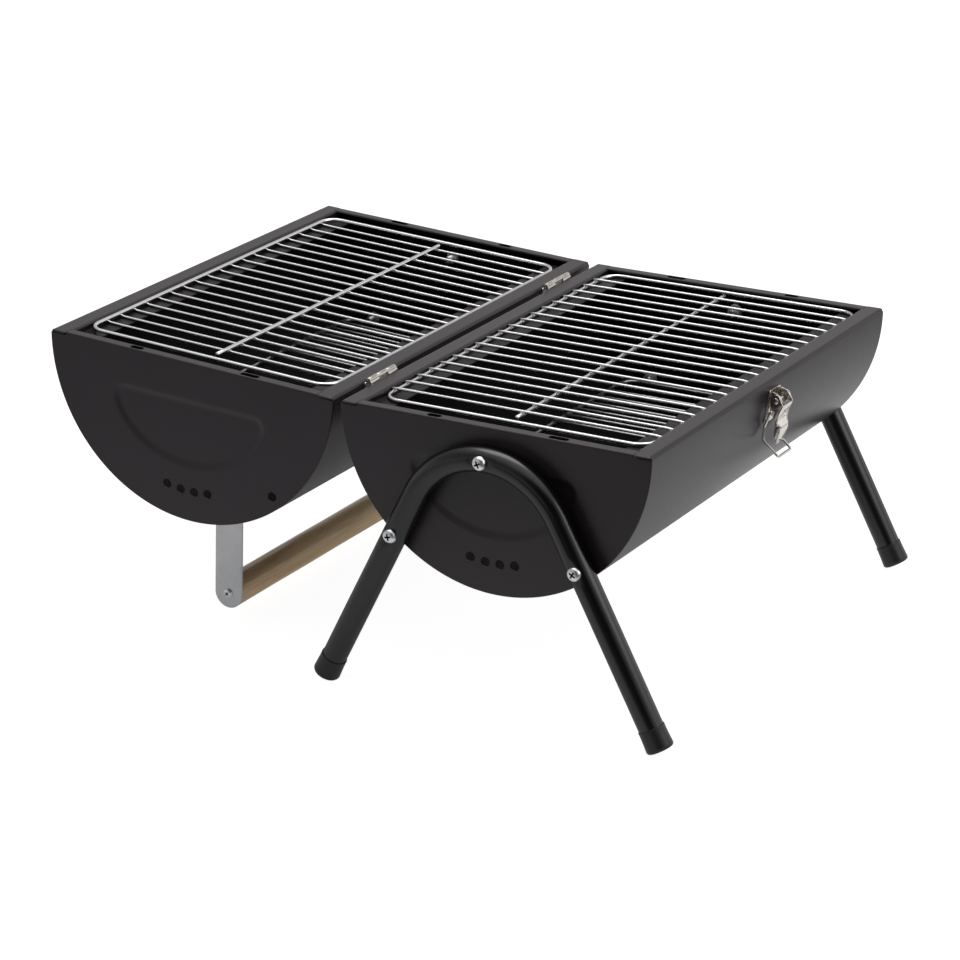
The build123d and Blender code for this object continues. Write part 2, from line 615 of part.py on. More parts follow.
def wire_frame(half_x, half_y, corner, z, y_mid):
    """Closed wire rectangle with rounded corners."""
    flat_x, flat_y = half_x - corner, half_y - corner
    ends = [(-flat_x, -half_y), (flat_x, -half_y), (half_x, -flat_y), (half_x, flat_y),
            (flat_x, half_y), (-flat_x, half_y), (-half_x, flat_y), (-half_x, -flat_y)]
    ends = [(x, y + y_mid, z) for x, y in ends]
    pieces = []
    for i, (side, end) in enumerate([(1, -1), (1, 1), (-1, 1), (-1, -1)]):
        start, stop, after = ends[2 * i], ends[2 * i + 1], ends[(2 * i + 2) % 8]
        bend_mid = (side * (flat_x + corner * DIAGONAL),
                    end * (flat_y + corner * DIAGONAL) + y_mid, z)
        pieces += [Line(start, stop), ThreePointArc(stop, bend_mid, after)]
    path = sum(pieces[1:], pieces[0])
    # straight pieces and quarter bends are swept one by one, then joined
    wires = [sweep(Plane(origin=edge @ 0, z_dir=edge % 0) * Circle(FRAME_R), path=edge)
             for edge in path.edges()]
    return sum(wires[1:], wires[0])


def grate_bars(pitch, half, z, y_mid):
    y0 = y_mid - pitch * (BARS - 1) / 2
    return [cyl((-half, y0 + i * pitch, z), (1, 0, 0), BAR_R, 2 * half) for i in range(BARS)]


def add_cooking_grate(name, place, half_y, y_mid, pitch, bars_y, spine_x, frame_z, bar_z):
    add(name + "_cooking_frame", place,
        wire_frame(COOK_X, half_y, COOK_CORNER, frame_z, y_mid))
    add(name + "_cooking_bars", place, *grate_bars(pitch, COOK_X + 1.7, bar_z, bars_y))
    add(name + "_cooking_spine", place,
        y_rod(spine_x, frame_z, FRAME_R, half_y - SPINE_SHORT, y=y_mid))


# right: the frame lies on the ledge with the bars on top
right_frame_z = -RIM_DROP + FRAME_R + CLEAR
add_cooking_grate("right", right, half_y=189.2, y_mid=10.5, pitch=18.5, bars_y=6.75,
                  spine_x=-2.0, frame_z=right_frame_z, bar_z=right_frame_z + WIRE_STEP)
# left: laid in the other way up, bars on the ledge
left_bar_z = -RIM_DROP + BAR_R + CLEAR
add_cooking_grate("left", left, half_y=185.0, y_mid=0.0, pitch=18.2, bars_y=6.95,
                  spine_x=3.5, frame_z=left_bar_z + WIRE_STEP, bar_z=left_bar_z)

for name, place in (("right", right), ("left", left)):
    add(name + "_charcoal_frame", place, wire_frame(COAL_X, COAL_Y, COAL_CORNER, COAL_Z, 0))
    add(name + "_charcoal_bars", place,
        *grate_bars(COAL_PITCH, COAL_X + 1.2, COAL_Z + WIRE_STEP, 0))
    add(name + "_charcoal_spine", place, y_rod(0, COAL_Z, FRAME_R, COAL_SPINE_HALF))

# ---------------- centre on the origin and write ----------------
boxes = [piece.bounding_box() for pieces in parts.values() for piece in pieces]
to_origin = Pos(-(min(box.min.X for box in boxes) + max(box.max.X for box in boxes)) / 2,
                -(min(box.min.Y for box in boxes) + max(box.max.Y for box in boxes)) / 2,
                -min(box.min.Z for box in boxes))

os.makedirs("parts", exist_ok=True)
for name, pieces in parts.items():
    solids = [to_origin * solid for piece in pieces for solid in piece.solids()]
    shape = solids[0] if len(solids) == 1 else Compound(children=solids)
    shape.label = name
    export_step(shape, "parts/%s.step" % name)
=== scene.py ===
"""Folding barrel grill: two half-barrel bowls hinged along Y, with grates, legs, latch and handle.

The right bowl stands rim up on two bent legs; the left bowl is swung open about the fold joint.
Each bowl is drawn in its own frame, in millimetres: x across from the bowl's middle, y along
the barrel (front is -y), z up from the rim plane. The hinge is on the right bowl's -x side and
on the left bowl's +x side.
"""
import json
import math
from collections import namedtuple
import bpy
import bmesh
import numpy as np
from mathutils import Matrix, Vector
from mathutils.geometry import delaunay_2d_cdt


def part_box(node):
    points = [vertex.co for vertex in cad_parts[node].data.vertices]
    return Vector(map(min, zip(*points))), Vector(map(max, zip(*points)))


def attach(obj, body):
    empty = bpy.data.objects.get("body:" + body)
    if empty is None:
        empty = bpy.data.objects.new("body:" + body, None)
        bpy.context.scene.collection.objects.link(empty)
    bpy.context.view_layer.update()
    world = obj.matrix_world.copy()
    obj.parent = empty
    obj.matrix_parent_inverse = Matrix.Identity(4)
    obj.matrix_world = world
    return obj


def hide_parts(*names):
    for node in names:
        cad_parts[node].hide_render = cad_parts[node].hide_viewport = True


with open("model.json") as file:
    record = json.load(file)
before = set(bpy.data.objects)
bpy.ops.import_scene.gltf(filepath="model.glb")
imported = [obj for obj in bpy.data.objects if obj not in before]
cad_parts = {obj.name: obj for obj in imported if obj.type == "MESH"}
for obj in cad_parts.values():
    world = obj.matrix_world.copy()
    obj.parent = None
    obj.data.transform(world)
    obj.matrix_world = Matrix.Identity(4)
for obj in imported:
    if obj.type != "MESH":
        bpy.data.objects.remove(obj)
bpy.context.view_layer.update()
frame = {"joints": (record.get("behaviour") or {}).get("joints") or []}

# ------------------------------------------------------------------ driving dimensions
BARREL_R = 139.4             # outside of the barrel
SHEET = 1.0                  # sheet thickness of bowls and end plates
END_Y = 210.0                # outside of the end plates
SHELL_END = END_Y - SHEET    # end of the shell
LEDGE_Z = -6.5               # top of the ledge that carries the cooking grate
GAP = 0.02                   # clearance between touching parts
FITTING = 1.2                # thickness of hinge, latch and catch plates
WALL_R = BARREL_R + GAP + FITTING   # outer face of fittings on the barrel wall

# ------------------------------------------------------------------ frames
shell_lo, shell_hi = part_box("right_shell")
BOWL_X = (shell_lo.x + shell_hi.x) * 500.0
RIM_Z = shell_hi.z * 1000.0
FOLD = {joint["name"]: joint for joint in frame["joints"]}["fold"]
AXIS_X = FOLD["pos_m"][0] * 1000.0
AXIS_Z = FOLD["pos_m"][2] * 1000.0
TILT = math.radians(180.0 + min(FOLD["range_deg"]))
AXIS_OUT = BOWL_X - AXIS_X   # hinge axis from the bowl's middle
AXIS_UP = AXIS_Z - RIM_Z     # hinge axis above the rim plane

Side = namedtuple("Side", "name matrix")
TO_METRES = Matrix.Scale(0.001, 4)
RIGHT = Side("right", TO_METRES @ Matrix.Translation((BOWL_X, 0, RIM_Z)))
LEFT = Side("left", TO_METRES @ Matrix.Translation((AXIS_X, 0, AXIS_Z))
            @ Matrix.Rotation(TILT, 4, "Y") @ Matrix.Translation((-AXIS_OUT, 0, -AXIS_UP)))
TURN = Matrix.Rotation(math.pi, 4, "Z")   # carries a front piece to the rear


# ------------------------------------------------------------------ mesh tools
# A mesh is a pair (points, faces).
def unit(v):
    return v / np.maximum(np.linalg.norm(v, axis=-1, keepdims=True), 1e-12)


def moved(points, matrix):
    matrix = np.array(matrix)
    return points @ matrix[:3, :3].T + matrix[:3, 3]


class Part:
    """Collects closed pieces of mesh and turns them into one object."""

    def __init__(self):
        self.points, self.faces, self.slots, self.count = [], [], [], 0

    def add(self, mesh, matrix=None, slots=0):
        """slots is one material index, or a list with one for each face."""
        points, faces = mesh
        points = np.asarray(points, float).reshape(-1, 3)
        if matrix is not None:
            points = moved(points, matrix)
        self.points.append(points)
        self.faces += [tuple(int(i) + self.count for i in face) for face in faces]
        self.slots += slots if isinstance(slots, list) else [slots] * len(faces)
        self.count += len(points)
        return self

    def make(self, name, side, materials, stands_for, body=None, angle=38.0, weighted=False):
        """angle is where edges turn sharp; body defaults to the side's half."""
        points = moved(np.concatenate(self.points), side.matrix)
        mesh = bpy.data.meshes.new(name)
        mesh.from_pydata([tuple(p) for p in points], [], self.faces)
        mesh.polygons.foreach_set("material_index", self.slots)
        mesh.validate()
        bm = bmesh.new()
        bm.from_mesh(mesh)
        bmesh.ops.remove_doubles(bm, verts=bm.verts, dist=2e-7)
        bmesh.ops.recalc_face_normals(bm, faces=bm.faces)
        limit = math.radians(angle)
        for edge in bm.edges:
            if len(edge.link_faces) == 2:
                edge.smooth = edge.calc_face_angle(0.0) < limit
        for face in bm.faces:
            face.smooth = True
        bm.to_mesh(mesh)
        bm.free()
        ob = bpy.data.objects.new(name, mesh)
        bpy.context.scene.collection.objects.link(ob)
        for material in materials:
            mesh.materials.append(material)
        if weighted:
            normals = ob.modifiers.new("weighted", "WEIGHTED_NORMAL")
            normals.mode = "FACE_AREA"
            normals.weight = 60
            normals.keep_sharp = True
        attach(ob, body or side.name + "_half")
        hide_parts(stands_for)


def rounded(corners, radius, steps=6, closed=False):
    """Polyline with each corner turned into an arc."""
    corners = [np.asarray(p, float) for p in corners]
    count = len(corners)
    out = []
    for i, corner in enumerate(corners):
        if not closed and i in (0, count - 1):
            out.append(corner)
            continue
        back, ahead = corners[i - 1] - corner, corners[(i + 1) % count] - corner
        back_len, ahead_len = np.linalg.norm(back), np.linalg.norm(ahead)
        back, ahead = back / back_len, ahead / ahead_len
        angle = math.acos(float(np.clip(back @ ahead, -1, 1)))
        if angle > math.pi - 0.02:
            out.append(corner)
            continue
        cut = min(radius / math.tan(angle / 2), 0.48 * back_len, 0.48 * ahead_len)
        r = cut * math.tan(angle / 2)
        centre = corner + unit(back + ahead) * r / math.sin(angle / 2)
        start, end = corner + back * cut - centre, corner + ahead * cut - centre
        sweep = math.acos(float(np.clip((start @ end) / (r * r), -1, 1)))
        for k in range(steps + 1):
            t = k / steps
            weighted = math.sin((1 - t) * sweep) * start + math.sin(t * sweep) * end
            out.append(centre + weighted / math.sin(sweep))
    return np.array(out)


def tube(path, radius, sides=14, closed=False, ref=None, dome=0.5, bore=None):
    """Round bar along a path with domed ends. A bore makes it an open pipe."""
    path = np.asarray(path, float)
    count = len(path)
    if closed:
        tangent = unit(np.roll(path, -1, 0) - np.roll(path, 1, 0))
    else:
        tangent = unit(np.gradient(path, axis=0))
    if ref is not None:
        across = unit(np.cross(tangent, np.asarray(ref, float)))
        normal = np.cross(across, tangent)
    else:
        normal = np.zeros_like(path)
        carried = np.array([0.0, 0.0, 1.0])
        for i in range(count):
            carried = unit(carried - tangent[i] * (carried @ tangent[i]))
            normal[i] = carried
        across = np.cross(tangent, normal)
    angles = np.linspace(0, 2 * math.pi, sides, endpoint=False)
    cos, sin = np.cos(angles)[:, None], np.sin(angles)[:, None]

    def ring(centre, r, i):
        return centre + r * (cos * normal[i] + sin * across[i])

    def quads(i, j):
        for q in range(sides):
            after = (q + 1) % sides
            faces.append((i * sides + q, i * sides + after, j * sides + after, j * sides + q))

    rings = [ring(path[i], radius, i) for i in range(count)]
    faces = []
    for i in range(count - 1):
        quads(i, i + 1)
    if closed:
        quads(count - 1, 0)
    elif bore is None:
        for end, sign in ((0, -1), (count - 1, 1)):
            last = end
            for a in (0.45, 0.85, 1.2):
                centre = path[end] + tangent[end] * sign * radius * dome * math.sin(a)
                rings.append(ring(centre, radius * math.cos(a), end))
                quads(last, len(rings) - 1)
                last = len(rings) - 1
            # the tip is repeated to fill a whole ring; the copies merge later
            tip = path[end] + tangent[end] * sign * radius * dome
            for q in range(sides):
                faces.append((last * sides + q, last * sides + (q + 1) % sides,
                              len(rings) * sides))
            rings.append(np.repeat(tip[None, :], sides, 0))
    else:
        rings += [ring(path[i], bore, i) for i in range(count)]
        for i in range(count - 1):
            quads(count + i, count + i + 1)
        quads(0, count)
        quads(count - 1, 2 * count - 1)
    return np.concatenate(rings), faces


def lathe(profile, sides, loop=False, origin=(0, 0, 0), axis=(0, 0, 1)):
    """Turns a profile of (radius, height) about an axis. loop closes it on itself."""
    axis = unit(np.asarray(axis, float))
    x = np.array([1.0, 0.0, 0.0])
    x = unit(x - axis * (x @ axis))
    y = np.cross(axis, x)
    origin = np.asarray(origin, float)
    points, faces, rings = [], [], []
    for r, height in profile:
        if r < 1e-9:
            rings.append([len(points)] * sides)
            points.append(origin + axis * height)
            continue
        rings.append(list(range(len(points), len(points) + sides)))
        for k in range(sides):
            t = 2 * math.pi * k / sides
            points.append(origin + axis * height + r * (math.cos(t) * x + math.sin(t) * y))
    count = len(profile)
    for i in range(count if loop else count - 1):
        low, high = rings[i], rings[(i + 1) % count]
        for k in range(sides):
            after = (k + 1) % sides
            face = [low[k], low[after], high[after], high[k]]
            face = [p for j, p in enumerate(face) if p != face[j - 1]]
            if len(face) > 2:
                faces.append(tuple(face))
    return np.array(points), faces


def both_ends(profile, middle=()):
    """Turned profile from one end, completed with its mirror image at the other."""
    return list(profile) + list(middle) + [(r, -height) for r, height in profile[::-1]]


def arc(x, y, r, start, end, steps):
    angles = np.radians(np.linspace(start, end, steps + 1))
    return np.stack([x + r * np.cos(angles), y + r * np.sin(angles)], 1)


def circle(x, y, r, steps):
    return arc(x, y, r, 0, 360, steps)[:-1]


def stadium(x0, x1, y, width, steps=10):
    r = width / 2
    return np.concatenate([arc(x1 - r, y, r, -90, 90, steps), arc(x0 + r, y, r, 90, 270, steps)])


def round_rect(x0, x1, y0, y1, r, steps=6):
    return np.concatenate([arc(x1 - r, y0 + r, r, -90, 0, steps),
                           arc(x1 - r, y1 - r, r, 0, 90, steps),
                           arc(x0 + r, y1 - r, r, 90, 180, steps),
                           arc(x0 + r, y0 + r, r, 180, 270, steps)])


def row(first, last, count, level):
    """Evenly spaced points across a sheet at one level."""
    return np.column_stack([np.linspace(first, last, count), np.full(count, level)])


def counterclockwise(loop):
    loop = np.asarray(loop, float)
    x, y = loop[:, 0], loop[:, 1]
    area = (x * np.roll(y, -1) - np.roll(x, -1) * y).sum()
    return loop if area > 0 else loop[::-1].copy()


def offset_loop(loop, distance):
    edge = unit(np.roll(loop, -1, 0) - loop)
    after = np.stack([-edge[:, 1], edge[:, 0]], 1)
    before = np.roll(after, 1, 0)
    mitre = (before + after) / np.maximum(1 + (before * after).sum(1), 0.35)[:, None]
    return loop + distance * mitre


def within(points, loop):
    x, y = points[:, 0][:, None], points[:, 1][:, None]
    x0, y0 = loop[:, 0][None], loop[:, 1][None]
    x1, y1 = np.roll(loop[:, 0], -1)[None], np.roll(loop[:, 1], -1)[None]
    rise = np.where(y1 == y0, 1e-12, y1 - y0)
    crossed = ((y0 > y) != (y1 > y)) & (x < (x1 - x0) * (y - y0) / rise + x0)
    return crossed.sum(1) % 2 == 1


def sheet(outline, holes, bend, thickness, edge, rows=(), rings=(), hole_edge=None):
    """Bent sheet with rounded cut edges.

    bend(uv, h) gives the place of a flat point uv lying h above the outer face.
    rows and rings are extra open and closed lines that the triangles follow.
    """
    flat, links, drops = [], [], []

    def lay(line, drop, closed=True):
        first, count = len(flat), len(line)
        flat.extend([(float(a), float(b)) for a, b in line])
        links.extend([(first + i, first + (i + 1) % count)
                      for i in range(count if closed else count - 1)])
        drops.extend([drop] * count)

    outline = counterclockwise(outline)
    holes = [counterclockwise(hole) for hole in holes]
    hole_edge = edge if hole_edge is None else hole_edge
    for loop, sign, size in [(outline, 1, edge)] + [(hole, -1, hole_edge) for hole in holes]:
        lay(loop, size)
        lay(offset_loop(loop, sign * size * 0.3), size * 0.286)
        lay(offset_loop(loop, sign * size), 0.0)
    for line in rows:
        lay(line, 0.0, False)
    for ring in rings:
        lay(counterclockwise(ring), 0.0)
    uv, _, tris, source, _, _ = delaunay_2d_cdt([Vector(p) for p in flat], links, [], 0, 1e-5)
    uv = np.array([(p.x, p.y) for p in uv])
    drop = np.array([max([drops[i] for i in made_of], default=0.0) for made_of in source])
    tris = np.array([tri for tri in tris if len(tri) == 3])
    centres = uv[tris].mean(1)
    keep = within(centres, outline)
    for hole in holes:
        keep &= ~within(centres, hole)
    tris = tris[keep]
    area = np.abs(np.cross(uv[tris[:, 1]] - uv[tris[:, 0]], uv[tris[:, 2]] - uv[tris[:, 0]]))
    tris = tris[area > 1e-9]
    used = np.unique(tris)
    renumber = -np.ones(len(uv), int)
    renumber[used] = np.arange(len(used))
    uv, drop, tris = uv[used], drop[used], renumber[tris]
    count = len(uv)
    faces = [tuple(tri) for tri in tris] + [tuple(tri[::-1] + count) for tri in tris]
    # edges met by one triangle only are the border, closed by quads
    border = {}
    for a, b, c in tris:
        for i, j in ((a, b), (b, c), (c, a)):
            key = (min(i, j), max(i, j))
            border[key] = None if key in border else (i, j)
    for pair in border.values():
        if pair is not None:
            i, j = pair
            faces.append((j, i, i + count, j + count))
    return np.concatenate([bend(uv, -drop), bend(uv, -thickness + drop)]), faces


def prism(outline, y0, y1, edge, holes=()):
    """Flat plate in the x-z plane between y0 and y1."""
    def bend(uv, h):
        return np.stack([uv[:, 0], y0 - h, uv[:, 1]], 1)
    return sheet(outline, holes, bend, y1 - y0, edge)


def normals_2d(line):
    tangent = unit(np.gradient(line, axis=0))
    return np.stack([-tangent[:, 1], tangent[:, 0]], 1)


def strip(line, half=0.5):
    """Outline of a strip that follows a line."""
    normal = normals_2d(line)
    return np.concatenate([line + normal * half, (line - normal * half)[::-1]])


def along(path, distance):
    """Place and unit normal on a path with columns x, z, nx, nz, arc length."""
    x, z, nx, nz = (np.interp(distance, path[:, 4], path[:, k]) for k in range(4))
    size = np.hypot(nx, nz)
    return x, z, nx / size, nz / size


# ------------------------------------------------------------------ material tools
class Shader:
    """Adds nodes to the tree of a material or world."""

    def __init__(self, owner):
        owner.use_nodes = True
        self.owner, self.tree = owner, owner.node_tree
        self.normal = None

    def set(self, node, inputs):
        """Each value is an output socket to link, a number, a vector or an RGB colour."""
        for key, value in inputs.items():
            socket = node.inputs[key]
            if isinstance(value, bpy.types.NodeSocket):
                self.tree.links.new(value, socket)
            else:
                socket.default_value = (*value, 1) if socket.type == "RGBA" else value

    def node(self, kind, inputs=None, **settings):
        made = self.tree.nodes.new("ShaderNode" + kind)
        for key, value in settings.items():
            setattr(made, key, value)
        self.set(made, inputs or {})
        return made

    def coords(self, scale=(1, 1, 1)):
        place = self.node("TexCoord").outputs["Object"]
        return self.node("Mapping", {"Scale": scale, "Vector": place}).outputs["Vector"]

    def noise(self, place, scale, detail=3.0, rough=0.55, distortion=0.0):
        return self.node("TexNoise", {"Scale": scale, "Detail": detail, "Roughness": rough,
                                      "Distortion": distortion, "Vector": place}).outputs["Fac"]

    def ramp(self, value, stops):
        """stops are (position, grey or RGB)."""
        made = self.node("ValToRGB", {"Fac": value})
        elements = made.color_ramp.elements
        while len(elements) < len(stops):
            elements.new(0.5)
        for element, (position, color) in zip(elements, stops):
            element.position = position
            element.color = (*color, 1) if isinstance(color, tuple) else (color,) * 3 + (1,)
        return made.outputs["Color"]

    def spread(self, value, to, span=(0.3, 0.7)):
        """Maps a value from span onto the range to."""
        return self.node("MapRange", {"From Min": span[0], "From Max": span[1], "To Min": to[0],
                                      "To Max": to[1], "Value": value}).outputs["Result"]

    def math(self, operation, a, b):
        return self.node("Math", {0: a, 1: b}, operation=operation).outputs[0]

    def mix(self, amount, low, high):
        return self.node("Mix", {0: amount, 6: low, 7: high}, data_type="RGBA").outputs[2]

    def vary(self, noise, low, high, most=1.0, span=(0.3, 0.7)):
        """Colour that wanders from low towards high with a noise."""
        return self.mix(self.spread(noise, to=(0.0, most), span=span), low, high)

    def dot(self, vector, direction):
        return self.node("VectorMath", {0: vector, 1: Vector(direction).normalized()},
                         operation="DOT_PRODUCT").outputs["Value"]

    def surface(self, inputs):
        self.set(self.tree.nodes["Principled BSDF"], inputs)

    def bump(self, height, strength, distance):
        """Each bump lies on top of the one before."""
        made = self.node("Bump", {"Strength": strength, "Distance": distance, "Height": height})
        if self.normal is not None:
            self.set(made, {"Normal": self.normal})
        self.normal = made.outputs["Normal"]
        self.surface({"Normal": self.normal})


def new_material(name):
    return Shader(bpy.data.materials.new(name))


# ------------------------------------------------------------------ materials
def powder_coat():
    mat = new_material("powder_coat_black")
    place = mat.coords()
    cloud = mat.noise(place, scale=9.0, detail=2.0)
    fine = mat.noise(place, scale=1500.0, detail=2.0, rough=0.6)
    peel = mat.noise(place, scale=420.0, detail=2.0, rough=0.5)
    base = mat.vary(cloud, low=(0.0176, 0.0116, 0.0150), high=(0.0212, 0.0146, 0.0184))
    specks = mat.ramp(fine, stops=[(0.0, 0.0), (0.66, 0.0), (0.74, 1.0)])
    speck_amount = mat.math("MULTIPLY", specks, 0.35)
    mat.surface({"Base Color": mat.mix(speck_amount, low=base, high=(0.045, 0.038, 0.042)),
                 "Roughness": mat.spread(fine, to=(0.30, 0.39)),
                 "Specular IOR Level": 0.46})
    mat.bump(peel, strength=0.05, distance=0.0004)
    mat.bump(fine, strength=0.10, distance=0.00012)
    return mat.owner


# Painted shade: a darker, nearly matt copy of the powder coat for faces inside the bowl, hole walls
# and seams.
def inner_shade_coat():
    mat = new_material("powder_coat_inside")
    place = mat.coords()
    cloud = mat.noise(place, scale=16.0, detail=3.0)
    fine = mat.noise(place, scale=900.0, detail=2.0, rough=0.6)
    mat.surface({"Base Color": mat.vary(cloud, low=(0.0042, 0.0035, 0.0033),
                                        high=(0.0080, 0.0066, 0.0062)),
                 "Roughness": mat.spread(fine, to=(0.5, 0.62)),
                 "Specular IOR Level": 0.07})
    mat.bump(fine, strength=0.04, distance=0.0001)
    return mat.owner


# Painted shade: a darker copy of the powder coat for the ledge under the grate, where bars and rim
# shade it.
def ledge_shade_coat():
    mat = new_material("powder_coat_ledge")
    place = mat.coords()
    cloud = mat.noise(place, scale=12.0, detail=2.0)
    fine = mat.noise(place, scale=1500.0, detail=2.0, rough=0.6)
    # patches of deeper painted shade, also less glossy
    shade_patches = mat.noise(place, scale=55.0, detail=3.0, rough=0.6)
    base = mat.vary(cloud, low=(0.0130, 0.0092, 0.0106), high=(0.0175, 0.0128, 0.0146))
    mat.surface({"Base Color": mat.vary(shade_patches, low=base, high=(0.006, 0.0045, 0.0045), most=0.6),
                 "Roughness": mat.spread(fine, to=(0.34, 0.44)),
                 "Specular IOR Level": mat.spread(shade_patches, to=(0.27, 0.16))})
    mat.bump(fine, strength=0.08, distance=0.00012)
    return mat.owner


def leg_paint():
    mat = new_material("leg_gloss_black")
    place = mat.coords()
    cloud = mat.noise(place, scale=14.0, detail=2.0)
    peel = mat.noise(place, scale=300.0, detail=2.0, rough=0.5)
    fine = mat.noise(place, scale=1800.0, detail=2.0, rough=0.6)
    facing = mat.node("LayerWeight", {"Blend": 0.5}).outputs["Facing"]
    mat.surface({"Base Color": mat.vary(cloud, low=(0.0020, 0.0023, 0.0028),
                                        high=(0.0034, 0.0038, 0.0045)),
                 "Roughness": mat.spread(fine, to=(0.19, 0.26)),
                 "Specular IOR Level": mat.spread(facing, to=(0.58, 0.03), span=(0.45, 0.9))})
    mat.bump(peel, strength=0.05, distance=0.0004)
    mat.bump(fine, strength=0.05, distance=0.0001)
    return mat.owner


def cap_plastic():
    mat = new_material("cap_black_plastic")
    place = mat.coords()
    fine = mat.noise(place, scale=1100.0, detail=3.0, rough=0.6)
    cloud = mat.noise(place, scale=60.0, detail=2.0)
    mat.surface({"Base Color": mat.vary(cloud, low=(0.007, 0.007, 0.0074),
                                        high=(0.012, 0.012, 0.0124)),
                 "Roughness": mat.spread(fine, to=(0.32, 0.42)),
                 "Specular IOR Level": 0.42})
    mat.bump(fine, strength=0.10, distance=0.00012)
    return mat.owner


def metal(name, low, high, rough, grain=500.0, relief=0.00005, blotch=200.0, stretch=(1, 1, 1)):
    """low and high are its two colours; grain and blotch are noise scales, relief is in m."""
    mat = new_material(name)
    grains = mat.noise(mat.coords(stretch), scale=grain, detail=3.0, rough=0.6)
    blotches = mat.noise(mat.coords(), scale=blotch, detail=3.0, rough=0.6)
    roughness = mat.math("ADD", mat.spread(grains, to=rough),
                         mat.spread(blotches, to=(-0.02, 0.03)))
    mat.surface({"Base Color": mat.vary(blotches, low=low, high=high),
                 "Metallic": 1.0, "Roughness": roughness})
    mat.bump(grains, strength=0.25, distance=relief)
    return mat.owner


def wood():
    """Lacquered wood with its grain stretched along y."""
    mat = new_material("handle_lacquered_wood")

    def grain_noise(stretch, scale, **settings):
        return mat.noise(mat.coords((1.0, stretch, 1.0)), scale=scale, **settings)

    warp = grain_noise(0.12, scale=26.0, detail=2.0)
    grain = grain_noise(0.045, scale=330.0, detail=4.0, rough=0.62, distortion=0.6)
    pores = grain_noise(0.03, scale=1400.0, detail=3.0, rough=0.7)
    bands = grain_noise(0.02, scale=62.0, detail=2.0, rough=0.5, distortion=1.2)
    growth = grain_noise(0.012, scale=48.0, detail=1.0, rough=0.5, distortion=0.4)
    color = mat.ramp(bands, stops=[(0.28, (0.48, 0.3075, 0.1525)), (0.44, (0.64, 0.4275, 0.2196)),
                                   (0.56, (0.736, 0.5025, 0.2562)), (0.72, (0.576, 0.375, 0.1891))])
    color = mat.vary(grain, low=color, high=(0.376, 0.225, 0.1037), most=0.75, span=(0.42, 0.72))
    pore_mask = mat.ramp(pores, stops=[(0.0, 0.0), (0.6, 0.0), (0.7, 1.0)])
    color = mat.mix(mat.math("MULTIPLY", pore_mask, 0.4), low=color, high=(0.224, 0.1275, 0.061))
    # one long dark growth line
    line = mat.ramp(growth, stops=[(0.485, 0.0), (0.5, 1.0), (0.515, 0.0)])
    color = mat.mix(mat.math("MULTIPLY", line, 0.75), low=color, high=(0.304, 0.1125, 0.0366))
    color = mat.vary(warp, low=color, high=(0.544, 0.435, 0.2074), most=0.35)
    lifted = mat.node("HueSaturation", {"Value": 1.22, "Color": color}).outputs["Color"]
    mat.surface({"Base Color": lifted, "Roughness": mat.spread(grain, to=(0.36, 0.5)),
                 "Coat Weight": 0.25, "Coat Roughness": 0.3})
    mat.bump(grain, strength=0.12, distance=0.0003)
    mat.bump(pores, strength=0.12, distance=0.0002)
    return mat.owner


POWDER = powder_coat()
INNER_SHADE = inner_shade_coat()
LEDGE_SHADE = ledge_shade_coat()
LEG = leg_paint()
CAP = cap_plastic()
CHROME = metal("chrome_wire", low=(0.88, 0.885, 0.895), high=(0.77, 0.775, 0.785),
               rough=(0.17, 0.25), grain=900.0, relief=0.000006, blotch=220.0)
# painted shade: a darker, rougher copy of the chrome for the charcoal grates low in the bowl
CHROME_LOW_SHADE = metal("chrome_wire_low_painted_shade", low=(0.62, 0.62, 0.63), high=(0.44, 0.44, 0.45),
                   rough=(0.24, 0.36), grain=900.0, relief=0.000006, blotch=160.0)
NICKEL = metal("nickel_plate", low=(0.78, 0.74, 0.69), high=(0.66, 0.62, 0.57),
               rough=(0.14, 0.22), grain=700.0, relief=0.00003, blotch=160.0)
ZINC = metal("zinc_plate", low=(0.93, 0.935, 0.95), high=(0.82, 0.83, 0.85), rough=(0.22, 0.36))
# painted light: a paler, rougher zinc that lifts the nuts inside the bowl
NUT_PAINTED_LIGHT = metal("zinc_nut_painted_light", low=(0.97, 0.97, 0.98), high=(0.90, 0.90, 0.91), rough=(0.46, 0.60))
# painted shade: dark metal down inside the screw recesses
RECESS_SHADE = metal("screw_recess_painted_shade", low=(0.16, 0.16, 0.165), high=(0.10, 0.10, 0.105),
            rough=(0.42, 0.6), relief=0.00004)
# painted shade: a darker copy of the nickel plate for the hinges
HINGE_SHADE = metal("hinge_plate_painted_shade", low=(0.66, 0.63, 0.585), high=(0.52, 0.49, 0.445),
              rough=(0.16, 0.26), grain=700.0, relief=0.00002, blotch=160.0)
STEEL = metal("strap_steel", low=(0.66, 0.66, 0.665), high=(0.56, 0.562, 0.566),
              rough=(0.34, 0.5), grain=260.0, relief=0.00003, blotch=24.0,
              stretch=(9.0, 9.0, 0.35))
WOOD = wood()

# ------------------------------------------------------------------ bowl shells
LEDGE_IN = 104.0                # inner edge of the ledge
RIM_IN = 122.5                  # upright between ledge and rim
RIM_BEND, LEDGE_BEND, OUTER_BEND = 2.0, 1.0, 3.0
LEDGE_END = 200.65              # the ledge stops short, at the end rim
TAB = 3.0                       # reach of the rim's end tabs


def line_stations(start, end, step):
    """Rows of x, z, nx, nz; the normal is on the left of travel."""
    start, end = np.array(start, float), np.array(end, float)
    length = np.linalg.norm(end - start)
    count = max(1, int(math.ceil(length / step)))
    way = (end - start) / length
    places = [start + (end - start) * i / count for i in range(count + 1)]
    return [(p[0], p[1], -way[1], way[0]) for p in places]


def arc_stations(x, z, r, start, end, count, sign):
    """The same for an arc; sign 1 puts the normal outwards."""
    out = []
    for i in range(count + 1):
        t = math.radians(start + (end - start) * i / count)
        out.append((x + r * math.cos(t), z + r * math.sin(t),
                    sign * math.cos(t), sign * math.sin(t)))
    return out


